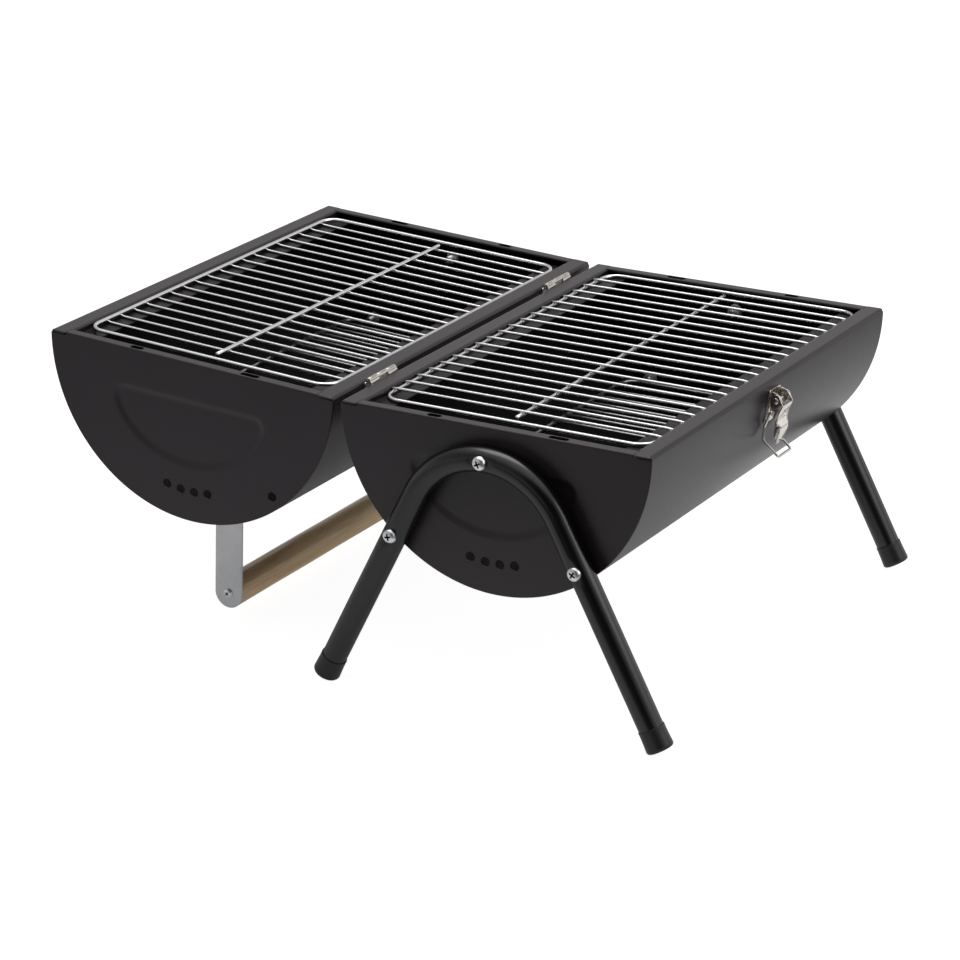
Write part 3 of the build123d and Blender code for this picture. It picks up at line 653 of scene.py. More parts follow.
def shell_path():
    """Section of a shell from the +x ledge round the barrel to the -x ledge."""
    dip = math.degrees(math.asin(OUTER_BEND / BARREL_R))
    bend_x = math.sqrt(BARREL_R * BARREL_R - OUTER_BEND * OUTER_BEND) - OUTER_BEND
    ledge_x, ledge_z = RIM_IN - LEDGE_BEND, LEDGE_Z + LEDGE_BEND
    rim_x = RIM_IN + RIM_BEND
    stations = (
        line_stations((LEDGE_IN, LEDGE_Z), (ledge_x, LEDGE_Z), 2.4)
        + arc_stations(ledge_x, ledge_z, LEDGE_BEND, -90, 0, 5, -1)
        + line_stations((RIM_IN, ledge_z), (RIM_IN, -RIM_BEND), 0.9)
        + arc_stations(rim_x, -RIM_BEND, RIM_BEND, 180, 90, 7, 1)
        + line_stations((rim_x, 0.0), (bend_x, 0.0), 1.0)
        + arc_stations(bend_x, -OUTER_BEND, OUTER_BEND, 90, 0, 8, 1)
        + arc_stations(0.0, 0.0, BARREL_R, -dip, -180 + dip, 190, 1)
        + arc_stations(-bend_x, -OUTER_BEND, OUTER_BEND, 180, 90, 8, 1)
        + line_stations((-bend_x, 0.0), (-rim_x, 0.0), 1.0)
        + arc_stations(-rim_x, -RIM_BEND, RIM_BEND, 90, 0, 7, 1)
        + line_stations((-RIM_IN, -RIM_BEND), (-RIM_IN, ledge_z), 0.9)
        + arc_stations(-ledge_x, ledge_z, LEDGE_BEND, 180, 270, 5, -1)
        + line_stations((-ledge_x, LEDGE_Z), (-LEDGE_IN, LEDGE_Z), 2.4))
    kept = stations[:1]
    for station in stations:
        if math.hypot(station[0] - kept[-1][0], station[1] - kept[-1][1]) > 1e-4:
            kept.append(station)
    kept = np.array(kept)
    steps = np.hypot(np.diff(kept[:, 0]), np.diff(kept[:, 1]))
    return np.column_stack([kept, np.concatenate([[0], np.cumsum(steps)])])


SHELL_PATH = shell_path()


def tab_length(x, z):
    """How far the rim's end tab reaches past the shell's end at this point of the section."""
    if z < -2.05 or abs(x) < 124.0 or abs(x) > 139.0:
        return 0.0
    off = (abs(x) - 131.3) / 7.2
    return TAB * max(0.0, 1 - abs(off) ** 4.5) ** (1 / 2.4) if abs(off) < 1 else 0.0


def shell_bend(uv, h):
    """u runs round the section, v along the barrel; the tabs bend down past the end."""
    x, z, nx, nz = along(SHELL_PATH, uv[:, 0])
    y = uv[:, 1].copy()
    sign = np.sign(y)
    past = np.maximum(np.abs(y) - SHELL_END, 0.0)
    r = 2.0
    turn = past / r
    bent_y = np.where(past > 0, sign * (SHELL_END + r * np.sin(turn)), y)
    bent_z = z - np.where(past > 0, r * (1 - np.cos(turn)) * np.maximum(nz, 0.0), 0.0)
    ny = np.where(past > 0, sign * np.sin(turn) * nz, 0.0)
    nz = np.where(past > 0, np.cos(turn) * nz, nz)
    return np.stack([x, bent_y, bent_z], 1) + unit(np.stack([nx, ny, nz], 1)) * h[:, None]


def shell_mesh():
    s = SHELL_PATH[:, 4]
    tabs = np.array([tab_length(x, z) for x, z in SHELL_PATH[:, :2]])
    # the ledge and the bend above it
    inset = (np.abs(SHELL_PATH[:, 0]) < 124.49) & (SHELL_PATH[:, 1] > -9.0)
    reach = []
    for k in range(len(s)):
        if k and inset[k] != inset[k - 1]:
            # a steep step in length stands in for the station where the inset starts or stops
            if inset[k - 1]:
                reach += [(s[k] - 0.02, LEDGE_END), (s[k] + 0.02, SHELL_END)]
                continue
            reach.pop()
            reach += [(s[k - 1] - 0.02, SHELL_END), (s[k - 1] + 0.02, LEDGE_END)]
        reach.append((s[k], LEDGE_END if inset[k] else SHELL_END + tabs[k]))
    reach = np.array(reach)
    outline = np.concatenate([reach * (1, -1), reach[::-1]])
    rows = []
    lengths = np.linspace(-207.6, 207.6, 27)
    for k in range(1, len(s) - 1):
        if 0.8 < s[k] < s[-1] - 0.8:
            near = inset[k] or inset[k - 1] or inset[k + 1]
            y = lengths * (199.4 / 207.6) if near else lengths
            rows.append(np.column_stack([np.full(len(y), s[k]), y]))
    # rows across the tabs where they bend down
    for low, high in ((124.8, 138.6), (-138.6, -124.8)):
        on_tab = [k for k in range(len(s)) if tabs[k] > 0.05 and low < SHELL_PATH[k, 0] < high]
        for sign in (-1, 1):
            for past in (-0.6, 0.0, 0.45, 0.9, 1.35, 1.8, 2.25):
                picked = [k for k in on_tab if tabs[k] - past > 0.5]
                if len(picked) > 2:
                    y = np.full(len(picked), sign * (SHELL_END + past))
                    rows.append(np.column_stack([s[picked], y]))
    return sheet(outline, [], shell_bend, SHEET, 0.3, rows=rows)


def shell_slots(mesh):
    """Material 1, painted shade, on faces that look into the bowl, 2, deeper painted shade, round
    the ledge, 0 elsewhere.
    """
    points, faces = mesh
    x, _, z = np.array([points[list(face)].mean(0) for face in faces]).T
    x_out = np.abs(x)
    inside = (np.hypot(x, z) < BARREL_R - 0.5) & (z < -1.5) & ((z < -6.9) | (x_out > 123.0))
    on_ledge = (x_out < 123.0) & (z > -8.2) & (z < -2.5)
    return np.where(on_ledge, 2, np.where(inside, 1, 0)).tolist()


shell = shell_mesh()
# the inside and the ledge take the painted-shade coats
for side in (RIGHT, LEFT):
    Part().add(shell, None, shell_slots(shell)).make(
        side.name + "_bowl_shell", side, [POWDER, INNER_SHADE, LEDGE_SHADE], side.name + "_shell",
        weighted=True)

# ------------------------------------------------------------------ end plates
PRESS_DEPTH = 1.5                      # of the half-moon pressed into the face
FOLD_R, LIP_R = 1.6, 1.3               # fold at the rim, bend at the lip
END_RIM_IN = 200.8                     # inner edge of the end rim
END_RIM_HALF = 124.3                   # half width of the end rim
# Distances up the flat plate: the face ends and the fold, rim and lip follow.
FOLD_END = -FOLD_R + FOLD_R * math.pi / 2
BEND_START = FOLD_END + (END_Y - FOLD_R) - (END_RIM_IN + LIP_R)
BEND_END = BEND_START + LIP_R * math.pi / 2
LIP_EDGE = BEND_END + 1.0
FOLD_LEVELS = (-1.6, -1.2, -0.75, -0.3, 0.15, 0.55, 0.913)
BEND_LEVELS = tuple(BEND_START + past for past in (0.45, 0.9, 1.35, 1.75))

LEG_TOP = -22.7                        # height of the leg bow's crown
LOW_BOLT_X, LOW_BOLT_Z = 83.4, -98.4
# x, z, radius
LEG_HOLES = [(0.0, LEG_TOP, 3.2), (LOW_BOLT_X, LOW_BOLT_Z, 3.2), (-LOW_BOLT_X, LOW_BOLT_Z, 3.2)]
VENT_HOLES = [(x, -math.sqrt(113.0 ** 2 - x * x), 4.0) for x in (-21.4, -7.8, 5.5, 18.9)]


def half_moon(inset):
    """Outline of the pressed half-moon, so far inside its outer edge."""
    middle_x, top, half_w, depth, corner = -0.8, -31.0, 78.5, 62.0, 12.0
    t = np.radians(np.linspace(180, 360, 241))
    edge = np.stack([middle_x + half_w * np.cos(t), top + depth * np.sin(t)], 1)
    normal = unit(np.stack([np.cos(t) / half_w, np.sin(t) / depth], 1))
    below = (edge - corner * normal)[:, 1] <= top - corner
    edge, normal = edge[below][::3], normal[below][::3]
    right_x = (edge[-1] - corner * normal[-1])[0]
    left_x = (edge[0] - corner * normal[0])[0]
    right_angle = math.degrees(math.atan2(normal[-1][1], normal[-1][0]))
    left_angle = math.degrees(math.atan2(normal[0][1], normal[0][0])) % 360
    r = corner - inset
    return np.concatenate([edge - inset * normal,
                           arc(right_x, top - corner, r, right_angle, 90, 9)[1:],
                           row(right_x, left_x, 60, top - inset)[1:-1],
                           arc(left_x, top - corner, r, 90, left_angle, 9)[:-1]])


HALF_MOON = half_moon(0.0)


def press_depth(xz):
    inside = within(xz, HALF_MOON)
    nearest = np.full(len(xz), 1e9)
    for start, end in zip(HALF_MOON, np.roll(HALF_MOON, -1, 0)):
        edge = end - start
        t = np.clip(((xz - start) @ edge) / (edge @ edge), 0, 1)
        gap = np.linalg.norm(xz - (start + t[:, None] * edge), axis=1)
        nearest = np.minimum(nearest, gap)
    t = np.clip(np.where(inside, nearest, 0.0) / 7.0, 0, 1)
    return PRESS_DEPTH * t * t * (3 - 2 * t)


def plate_bend(uv, h):
    """u runs across; v goes up the face, over the fold, along the rim and down the lip."""
    x, s = uv[:, 0], uv[:, 1]
    middle = np.abs(x) <= END_RIM_HALF + 0.35
    limits = (-FOLD_R, FOLD_END, BEND_START, BEND_END, np.inf)
    zones = [middle & (s > low) & (s <= high) for low, high in zip(limits, limits[1:])]
    fold = (s + FOLD_R) / FOLD_R
    bend = math.pi / 2 - (s - BEND_START) / LIP_R
    fold_y, bend_y = -(END_Y - FOLD_R), -(END_RIM_IN + LIP_R)
    y = np.select(zones, [fold_y - FOLD_R * np.cos(fold), fold_y + (s - FOLD_END),
                          bend_y + LIP_R * np.cos(bend), -END_RIM_IN], -END_Y)
    z = np.select(zones, [-FOLD_R + FOLD_R * np.sin(fold), 0.0,
                          -LIP_R + LIP_R * np.sin(bend), -LIP_R - (s - BEND_END)], s)
    ny = np.select(zones, [-np.cos(fold), 0.0, np.cos(bend), 1.0], -1.0)
    nz = np.select(zones, [np.sin(fold), 1.0, np.sin(bend), 0.0], 0.0)
    face = s < -6
    y[face] += press_depth(uv[face])
    return np.stack([x, y + ny * h, z + nz * h], 1)


def plate_mesh(bolt_holes):
    shoulder = -2.5
    dip = math.degrees(math.asin(-shoulder / BARREL_R))
    right = [(134.0, shoulder), (129.0, shoulder), (125.4, shoulder),
             (124.75, shoulder + 0.12), (124.4, shoulder + 0.5)]
    right += [(END_RIM_HALF, s) for s in FOLD_LEVELS + (1.6, 2.6, 3.6, 4.6, 5.5, BEND_START)
              + BEND_LEVELS + (BEND_END,)]
    right += [(END_RIM_HALF - 0.1, BEND_END + 0.4), (END_RIM_HALF - 0.4, BEND_END + 0.75),
              (END_RIM_HALF - 1.0, LIP_EDGE)]
    outline = np.concatenate([arc(0, 0, BARREL_R, 180 + dip, 360 - dip, 300), np.array(right),
                              row(121.5, -121.5, 82, LIP_EDGE),
                              np.array([(-x, s) for x, s in right[::-1]])])
    round_holes = bolt_holes + VENT_HOLES
    slot_level = FOLD_END + 3.0
    holes = [circle(x, z, r, 30) for x, z, r in round_holes]
    holes += [stadium(-61.3, -48.6, slot_level, 5.5), stadium(47.9, 65.6, slot_level, 5.5)]
    wide = END_RIM_HALF - 0.9
    rows = [row(-wide, wide, 110, s) for s in (-3.3,) + FOLD_LEVELS]
    rows += [row(-wide, wide, 90, s)
             for s in (BEND_START + 0.02,) + BEND_LEVELS + (BEND_END + 0.02,)]
    # a light lattice keeps the flat area low on the plate in even triangles
    for z in np.arange(-126, -100, 6.5):
        half = math.sqrt(BARREL_R * BARREL_R - z * z) - 4
        for x in np.linspace(-half, half, int(half / 6)):
            if all(math.hypot(x - hx, z - hz) > r + 2 for hx, hz, r in round_holes):
                rows.append(np.array([(x, z), (x + 0.5, z)]))
    rings = [half_moon(inset) for inset in (-0.9, 0.0, 0.9, 1.8, 2.7, 3.6, 4.6, 5.8, 7.0, 8.2)]
    return sheet(outline, holes, plate_bend, SHEET, 0.42, rows=rows, rings=rings, hole_edge=0.3)


def plate_slots(mesh):
    """Material 1, painted shade, on faces that look into the bowl and on the cut edges of holes and
    seam, where it stands for the shade in those recesses.
    """
    points, faces = mesh
    slots = []
    for face in faces:
        a, b, c = points[list(face[:3])]
        x, y, z = points[list(face)].mean(0)
        looks_out = np.cross(b - a, c - a)[1] < 0
        painted_shade = y > -END_Y + 0.62 and z < -2.0 and not looks_out
        if len(face) == 4:
            from_axis = math.hypot(x, z)
            in_slot = abs(abs(y) - 205.4) < 3.1 and 46.0 < abs(x) < 67.0
            in_hole = z < -15 and from_axis < BARREL_R - 3
            on_seam = from_axis > BARREL_R - 0.2 and abs(y) < END_Y - 0.3
            painted_shade = painted_shade or in_slot or in_hole or on_seam
        slots.append(int(painted_shade))
    return slots


leg_plate = plate_mesh(LEG_HOLES)
for side, end, mesh in ((RIGHT, "front", leg_plate), (RIGHT, "rear", leg_plate),
                        (LEFT, "front", plate_mesh([(82.5, LOW_BOLT_Z, 4.0)])),
                        (LEFT, "rear", plate_mesh(LEG_HOLES[:2]))):
    Part().add(mesh, TURN if end == "rear" else None, plate_slots(mesh)).make(
        f"{side.name}_end_plate_{end}", side, [POWDER, INNER_SHADE], f"{side.name}_{end}_plate",
        weighted=True)

# ------------------------------------------------------------------ legs
LEG_R = 10.3
LEG_Y = END_Y + LEG_R
SPLAY_DEG = 27.5
SPLAY = math.radians(SPLAY_DEG)
CROWN_R = 72.5                          # bend at the top of the bow
CROWN_Z = LEG_TOP - CROWN_R             # its centre
STRAIGHT_X = CROWN_R * math.cos(SPLAY)  # where the straight leg starts
STRAIGHT_Z = CROWN_Z + CROWN_R * math.sin(SPLAY)
CAP_R = 11.4
CAP_LEN = 19.0
FLOOR_Z = -RIM_Z
# length of the straight; the cap's edge reaches a little below the floor and is cut flat
LEG_LEN = (STRAIGHT_Z - (FLOOR_Z - 0.7 + CAP_R * math.sin(SPLAY) * 0.93)) / math.cos(SPLAY)


def leg_point(distance, sign):
    """Point of the straight leg on the -x or +x side."""
    return np.array([sign * (STRAIGHT_X + distance * math.sin(SPLAY)), 0.0,
                     STRAIGHT_Z - distance * math.cos(SPLAY)])


def leg_tube(end):
    path = [leg_point(t, -1) for t in np.linspace(LEG_LEN - 2.0, 0.0, 64)]
    for angle in np.radians(np.linspace(180 - SPLAY_DEG, SPLAY_DEG, 74)[1:-1]):
        path.append(np.array([CROWN_R * math.cos(angle), 0, CROWN_Z + CROWN_R * math.sin(angle)]))
    path += [leg_point(t, 1) for t in np.linspace(0.0, LEG_LEN - 2.0, 64)]
    points, faces = tube(path, LEG_R, sides=40, ref=(0, 1, 0), bore=LEG_R - 1.2)
    # flats pressed under the screw heads
    for x, z, _ in LEG_HOLES:
        away = np.hypot(points[:, 0] - x, points[:, 2] - z)
        limit = LEG_R - 0.95 + 0.95 * np.clip((away - 6.3) / 5.0, 0, 1) ** 2
        pressed = (points[:, 1] * end > limit) & (away < 12)
        points[:, 1] = np.where(pressed, end * limit, points[:, 1])
    points[:, 1] += end * LEG_Y
    return points, faces


for end, name in ((-1, "front"), (1, "rear")):
    Part().add(leg_tube(end)).make(name + "_leg_bow", RIGHT, [LEG], name + "_leg_tube", angle=50)

bore = LEG_R + 0.03
CAP_PROFILE = [  # radius, height; the socket first, then the outside from mouth to sole
    (0.0, 17.03), (bore - 0.3, 17.03), (bore, 16.7), (bore, 9.0),
    (bore, 0.5), (bore + 0.1, 0.14), (bore + 0.38, 0.0), (bore + 0.62, 0.22), (bore + 0.74, 0.8),
    (bore + 0.62, 1.5), (bore + 0.6, 3.0), (bore + 0.72, 9.0), (11.35, 15.5), (CAP_R, 16.6),
    (11.2, 17.6), (10.7, 18.4), (9.9, 18.85), (8.7, CAP_LEN), (3.0, CAP_LEN), (0.0, CAP_LEN)]
caps = Part()
for end in (-1, 1):
    for sign in (-1, 1):
        sole, mouth = leg_point(LEG_LEN, sign), leg_point(LEG_LEN - CAP_LEN, sign)
        points, faces = lathe(CAP_PROFILE, 56, origin=mouth + np.array([0, end * LEG_Y, 0]),
                              axis=unit(sole - mouth))
        points[:, 2] = np.maximum(points[:, 2], FLOOR_Z)
        caps.add((points, faces))
caps.make("foot_end_caps", RIGHT, [CAP], "foot_caps", angle=45)


# ------------------------------------------------------------------ screws, washers, nuts, rivets
def cross_cut(head, top, half_width, half_length, depth, turn):
    """Cuts a cross recess into a turned head whose axis is +Z."""
    w, l = half_width, half_length
    cross = [(w, w), (w, l), (-w, l), (-w, w), (-l, w), (-l, -w),
             (-w, -w), (-w, -l), (w, -l), (w, -w), (l, -w), (l, w)]
    cos, sin = math.cos(turn), math.sin(turn)

    def turned(ring, z):
        return [(x * cos - y * sin, x * sin + y * cos, z) for x, y in ring]

    def narrowed(v):
        return v * (0.62 if abs(v) > w + 1e-6 else 0.8)

    floor = [(narrowed(x), narrowed(y)) for x, y in cross]
    cutter = (turned(cross, top + 0.6) + turned(floor, top - depth),
              [tuple(range(12)), tuple(range(23, 11, -1))]
              + [(i, i + 12, (i + 1) % 12 + 12, (i + 1) % 12) for i in range(12)])
    obs = []
    for points, faces in (head, cutter):
        mesh = bpy.data.meshes.new("tmp")
        mesh.from_pydata([tuple(p) for p in points], [], [tuple(int(i) for i in f) for f in faces])
        bm = bmesh.new()
        bm.from_mesh(mesh)
        bmesh.ops.recalc_face_normals(bm, faces=bm.faces)
        bm.to_mesh(mesh)
        bm.free()
        ob = bpy.data.objects.new("tmp", mesh)
        bpy.context.scene.collection.objects.link(ob)
        obs.append(ob)
    cut = obs[0].modifiers.new("cut", "BOOLEAN")
    cut.operation = "DIFFERENCE"
    cut.solver = "EXACT"
    cut.object = obs[1]
    graph = bpy.context.evaluated_depsgraph_get()
    graph.update()
    result = obs[0].evaluated_get(graph).to_mesh()
    points = np.array([tuple(p.co) for p in result.vertices])
    faces = [tuple(p.vertices) for p in result.polygons]
    for ob in obs:
        mesh = ob.data
        bpy.data.objects.remove(ob)
        bpy.data.meshes.remove(mesh)
    return points, faces


def pan_screw(head_r, head_h, shank_r, reach, thread, turn):
    """Head above z=0, shank below; thread is the length at the tip that shows thread."""
    # share of the head's radius and height
    dome = ((0.35, 0.985), (0.6, 0.91), (0.8, 0.75), (0.93, 0.5), (0.99, 0.22), (1.0, 0.08))
    profile = [(0.0, head_h)] + [(head_r * r, head_h * h) for r, h in dome]
    z = -(reach - thread)
    profile += [(head_r * 0.97, 0.0), (shank_r, 0.0), (shank_r, z)]
    while z > -reach + 0.9:
        profile += [(shank_r * 0.86, z - 0.45), (shank_r, z - 0.9)]
        z -= 0.9
    profile += [(shank_r * 0.7, -reach), (0.0, -reach)]
    return cross_cut(lathe(profile, 44), top=head_h, half_width=head_r * 0.135,
                     half_length=head_r * 0.54, depth=head_h * 0.72, turn=turn)


def recess_slots(screw, head_r, head_h):
    """Material 1, painted shade, for the faces down inside the cross recess."""
    points, faces = screw
    slots = []
    for face in faces:
        x, y, z = points[list(face)].mean(0)
        inside = 0.1 * head_h < z < 0.83 * head_h and math.hypot(x, y) < head_r * 0.6
        slots.append(int(inside))
    return slots


def place(origin, z_axis, x_axis=(1, 0, 0)):
    z = Vector(z_axis).normalized()
    x = Vector(x_axis)
    x = (x - z * x.dot(z)).normalized()
    matrix = Matrix((x, z.cross(x), z)).transposed().to_4x4()
    matrix.translation = Vector(origin)
    return matrix


def nut(flats, height, bore):
    """Hexagon nut from z=0 down, with chamfered corners."""
    corner_r = flats / math.sqrt(3)
    corners = np.array([(corner_r * math.cos(math.radians(60 * k)),
                         corner_r * math.sin(math.radians(60 * k))) for k in range(6)])
    outline = np.array([corners[k] * (1 - t) + corners[(k + 1) % 6] * t
                        for k in range(6) for t in (0.0, 0.25, 0.5, 0.75)])

    def bend(uv, h):
        cut = np.maximum(np.hypot(uv[:, 0], uv[:, 1]) - flats * 0.49, 0) * 0.55
        z = np.where(h > -height / 2, h - cut, h + cut)
        return np.stack([uv[:, 0], uv[:, 1], z], 1)

    return sheet(outline, [circle(0, 0, bore, 28)], bend, height, 0.18,
                 rings=[circle(0, 0, flats * 0.485, 36)], hole_edge=0.4)


def washer(outer, inner, height):
    e = 0.15
    return lathe([(inner, -e), (inner + e, 0), (outer - e, 0), (outer, -e), (outer, -height + e),
                  (outer - e, -height), (inner + e, -height), (inner, -height + e)], 44, loop=True)


def pop_rivet(head_r, head_h, grip=2.3, shank_r=1.6):
    return lathe([(0.0, head_h * 0.5), (0.55, head_h * 0.5), (0.75, head_h * 0.78),
                  (1.0, head_h * 0.99), (1.25, head_h), (head_r * 0.62, head_h * 0.86),
                  (head_r * 0.86, head_h * 0.52), (head_r * 0.98, head_h * 0.2), (head_r, 0.0),
                  (shank_r, 0.0), (shank_r, -grip), (2.1, -grip - 0.1), (2.4, -grip - 0.6),
                  (2.35, -grip - 1.4), (1.9, -grip - 2.0), (1.3, -grip - 2.2),
                  (0.0, -grip - 2.1)], 32)


def nut_place(origin, z_axis, turn, height):
    """Seats a nut on origin, standing up along z_axis."""
    return (place(origin, z_axis) @ Matrix.Rotation(turn, 4, "Z")
            @ Matrix.Translation((0, 0, height)))


SCREW_TURNS = [0.42, 1.05, 0.2, 0.8, 0.55, 1.3]
M6_HEIGHT, WASHER_H = 5.0, 1.0
m6_nut = nut(flats=10.0, height=M6_HEIGHT, bore=2.95)
flat_washer = washer(outer=6.2, inner=3.15, height=WASHER_H)
screws, washers, nuts = Part(), Part(), Part()
leg_bolts = [(end, x, z) for end in (-1, 1) for x, z, _ in LEG_HOLES]
for number, ((end, x, z), turn) in enumerate(zip(leg_bolts, SCREW_TURNS), 1):
    screw = pan_screw(head_r=6.0, head_h=4.0, shank_r=3.0, reach=28.8, thread=9.5, turn=turn)
    screws.add(screw, place((x, end * (LEG_Y + LEG_R - 0.8), z), (0, end, 0)),
               recess_slots(screw, head_r=6.0, head_h=4.0))
    washers.add(flat_washer, place((x, end * SHELL_END, z), (0, -end, 0))
                @ Matrix.Translation((0, 0, WASHER_H)))
    nuts.add(m6_nut, nut_place((x, end * (SHELL_END - WASHER_H), z), (0, -end, 0),
                               turn=0.3 * number, height=M6_HEIGHT))
screws.make("leg_pan_screws", RIGHT, [ZINC, RECESS_SHADE], "leg_screws", angle=32)
washers.make("leg_flat_washers", RIGHT, [ZINC], "leg_washers", angle=32)
nuts.make("leg_hex_nuts", RIGHT, [NUT_PAINTED_LIGHT], "leg_nuts", angle=32)

bolts, nuts = Part(), Part()
for x, z in ((0.0, LEG_TOP), (-LOW_BOLT_X, LOW_BOLT_Z)):
    bolts.add(pan_screw(head_r=5.5, head_h=2.6, shank_r=3.0, reach=13.0, thread=11.0, turn=0.6),
              place((x, END_Y, z), (0, 1, 0)))
    nuts.add(m6_nut, nut_place((x, SHELL_END, z), (0, -1, 0), turn=0.35 + x, height=M6_HEIGHT))
bolts.make("left_rear_bolts", LEFT, [ZINC], "spare_bolts", angle=32)
nuts.make("left_rear_nuts", LEFT, [NUT_PAINTED_LIGHT], "spare_nuts", angle=32)


# ------------------------------------------------------------------ fittings on the barrel wall
def wall_length(z):
    """Level on the wall, as arc length from the rim plane, of a height z below it."""
    return -WALL_R * math.asin(-z / WALL_R)


def wall_plate(sign, middle, half, low, top, corner, columns, levels, top_gap):
    """Plate on the -x or +x wall; middle and half are along y, low and top are wall lengths."""
    def bend(uv, h):
        angle = -uv[:, 1] / WALL_R
        r = WALL_R + h
        return np.stack([sign * r * np.cos(angle), uv[:, 0], -r * np.sin(angle)], 1)
    rows = [row(middle - half + 1, middle + half - 1, columns, level)
            for level in np.linspace(low + 1.2, top - top_gap, levels)]
    outline = round_rect(middle - half, middle + half, low, top, corner)
    return sheet(outline, [], bend, FITTING, 0.22, rows=rows)


def wall_rivets(name, side, sign, z, lengthwise, rivet, material, stands_for):
    part = Part()
    for y in lengthwise:
        out = Vector((sign * math.sqrt(BARREL_R * BARREL_R - z * z), 0, z)).normalized()
        part.add(rivet, place(out * (WALL_R + GAP) + Vector((0, y, 0)), out, (0, 1, 0)))
    part.make(name, side, [material], stands_for)


# ------------------------------------------------------------------ hinges
HINGE_Y = (-144.0, 144.0)
HINGE_HALF = 20.0
KNUCKLE_R = 2.4


def add_hinge_leaf(part, sign, middle, knuckles):
    """knuckles are (start, end) along y from the hinge's middle."""
    part.add(wall_plate(sign, middle, HINGE_HALF, low=-18.0, top=-0.6, corner=2.2,
                        columns=12, levels=7, top_gap=1.0))
    # the strip goes up from the leaf and rolls round the pin
    r = KNUCKLE_R - 0.52
    line = [(sign * (BARREL_R + 0.62), -1.6), (sign * (BARREL_R + 0.64), -0.4),
            (sign * (BARREL_R + 1.05), 0.8)]
    for angle in np.linspace(0, 300, 31):
        t = math.radians(angle)
        line.append((sign * AXIS_OUT - sign * r * math.cos(t), AXIS_UP + r * math.sin(t)))
    outline = strip(np.array(line))
    for start, end in knuckles:
        part.add(prism(outline, middle + start + 0.04, middle + end - 0.04, 0.16))


right_leaves, left_leaves, pins = Part(), Part(), Part()
pin_end = HINGE_HALF + 0.4
for y in HINGE_Y:
    add_hinge_leaf(right_leaves, -1, y, [(-HINGE_HALF, -6.8), (6.8, HINGE_HALF)])
    add_hinge_leaf(left_leaves, 1, y, [(-6.6, 6.6)])
    pins.add(lathe(both_ends([(0, -pin_end), (0.8, -pin_end), (1.13, -pin_end + 0.3),
                              (1.18, -pin_end + 0.6)]),
                   24, origin=(-AXIS_OUT, y, AXIS_UP), axis=(0, 1, 0)))
right_leaves.make("hinge_leaf_right", RIGHT, [HINGE_SHADE], "right_hinge_leaves", angle=40)
left_leaves.make("hinge_leaf_left", LEFT, [HINGE_SHADE], "left_hinge_leaves", angle=40)
pins.make("hinge_pin_rods", RIGHT, [HINGE_SHADE], "hinge_pins")
hinge_rivet = pop_rivet(head_r=3.2, head_h=1.1)
for side, sign in ((RIGHT, -1), (LEFT, 1)):
    wall_rivets("hinge_rivets_" + side.name, side, sign, -11.5,
                [y + off for y in HINGE_Y for off in (-14.0, 14.0)],
                hinge_rivet, HINGE_SHADE, side.name + "_hinge_rivets")

# ------------------------------------------------------------------ draw latch
# x, z places on the right bowl
PIVOT = (145.2, -15.5)          # lever on the base
BAIL_PIVOT = (142.3, -24.5)     # bail in the lever
BAIL_KNEE = (135.6, -49.2)
BAIL_CROSS = (149.6, -61.6)     # cross wire of the bail
BAIL_Y = 11.6

base = Part()
base.add(wall_plate(1, 0.0, 10.0, low=wall_length(-36.5), top=wall_length(-7.4), corner=2.0,
                    columns=8, levels=9, top_gap=1.2))
EAR = [(140.3, -8.4), (144.0, -9.2), (147.6, -10.9), (150.4, -15.0), (149.6, -19.4),
       (145.2, -21.2), (139.5, -21.0)]
ear = rounded(EAR, 1.6, steps=4, closed=True)
for y0, y1 in ((-8.2, -7.0), (7.0, 8.2)):
    base.add(prism(ear, y0, y1, 0.22, [circle(*PIVOT, 1.52, 20)]))
base.make("latch_base_plate", RIGHT, [NICKEL], "latch_base", angle=40)
latch_rivet = pop_rivet(head_r=2.9, head_h=0.9)
wall_rivets("latch_rivets", RIGHT, 1, -28.5, (-5.0, 5.0), latch_rivet, NICKEL,
            "latch_base_rivets")
PIVOT_PROFILE = [(0, -10.35), (1.4, -10.3), (2.2, -10.1), (2.55, -9.8), (2.6, -9.55),
                 (1.5, -9.53)]
pivot = lathe(both_ends(PIVOT_PROFILE), 28, origin=(PIVOT[0], 0, PIVOT[1]), axis=(0, 1, 0))
Part().add(pivot).make("latch_pivot_rod", RIGHT, [NICKEL], "latch_pivot_pin")

# the lever's web runs down this x, z line
web_line = rounded(((151.9, -19.4), (145.9, -31.5), (149.6, -38.5), (144.6, -53.9)), 2.6, steps=7)
web_steps = np.linalg.norm(np.diff(web_line, axis=0), axis=1)
WEB_PATH = np.column_stack([web_line, normals_2d(web_line),
                            np.concatenate([[0], np.cumsum(web_steps)])])


def web_bend(uv, h):
    x, z, nx, nz = along(WEB_PATH, uv[:, 1])
    return np.stack([x + nx * h, uv[:, 0], z + nz * h], 1)


def web_length(z):
    """Distance down the web to a height z."""
    return float(np.interp(-z, -WEB_PATH[:, 1], WEB_PATH[:, 4]))


LEVER_HALF = 9.45
wide_end, neck, tip = web_length(-33.4), web_length(-36.6), WEB_PATH[-1, 4]
slot_at = web_length(-28.0)
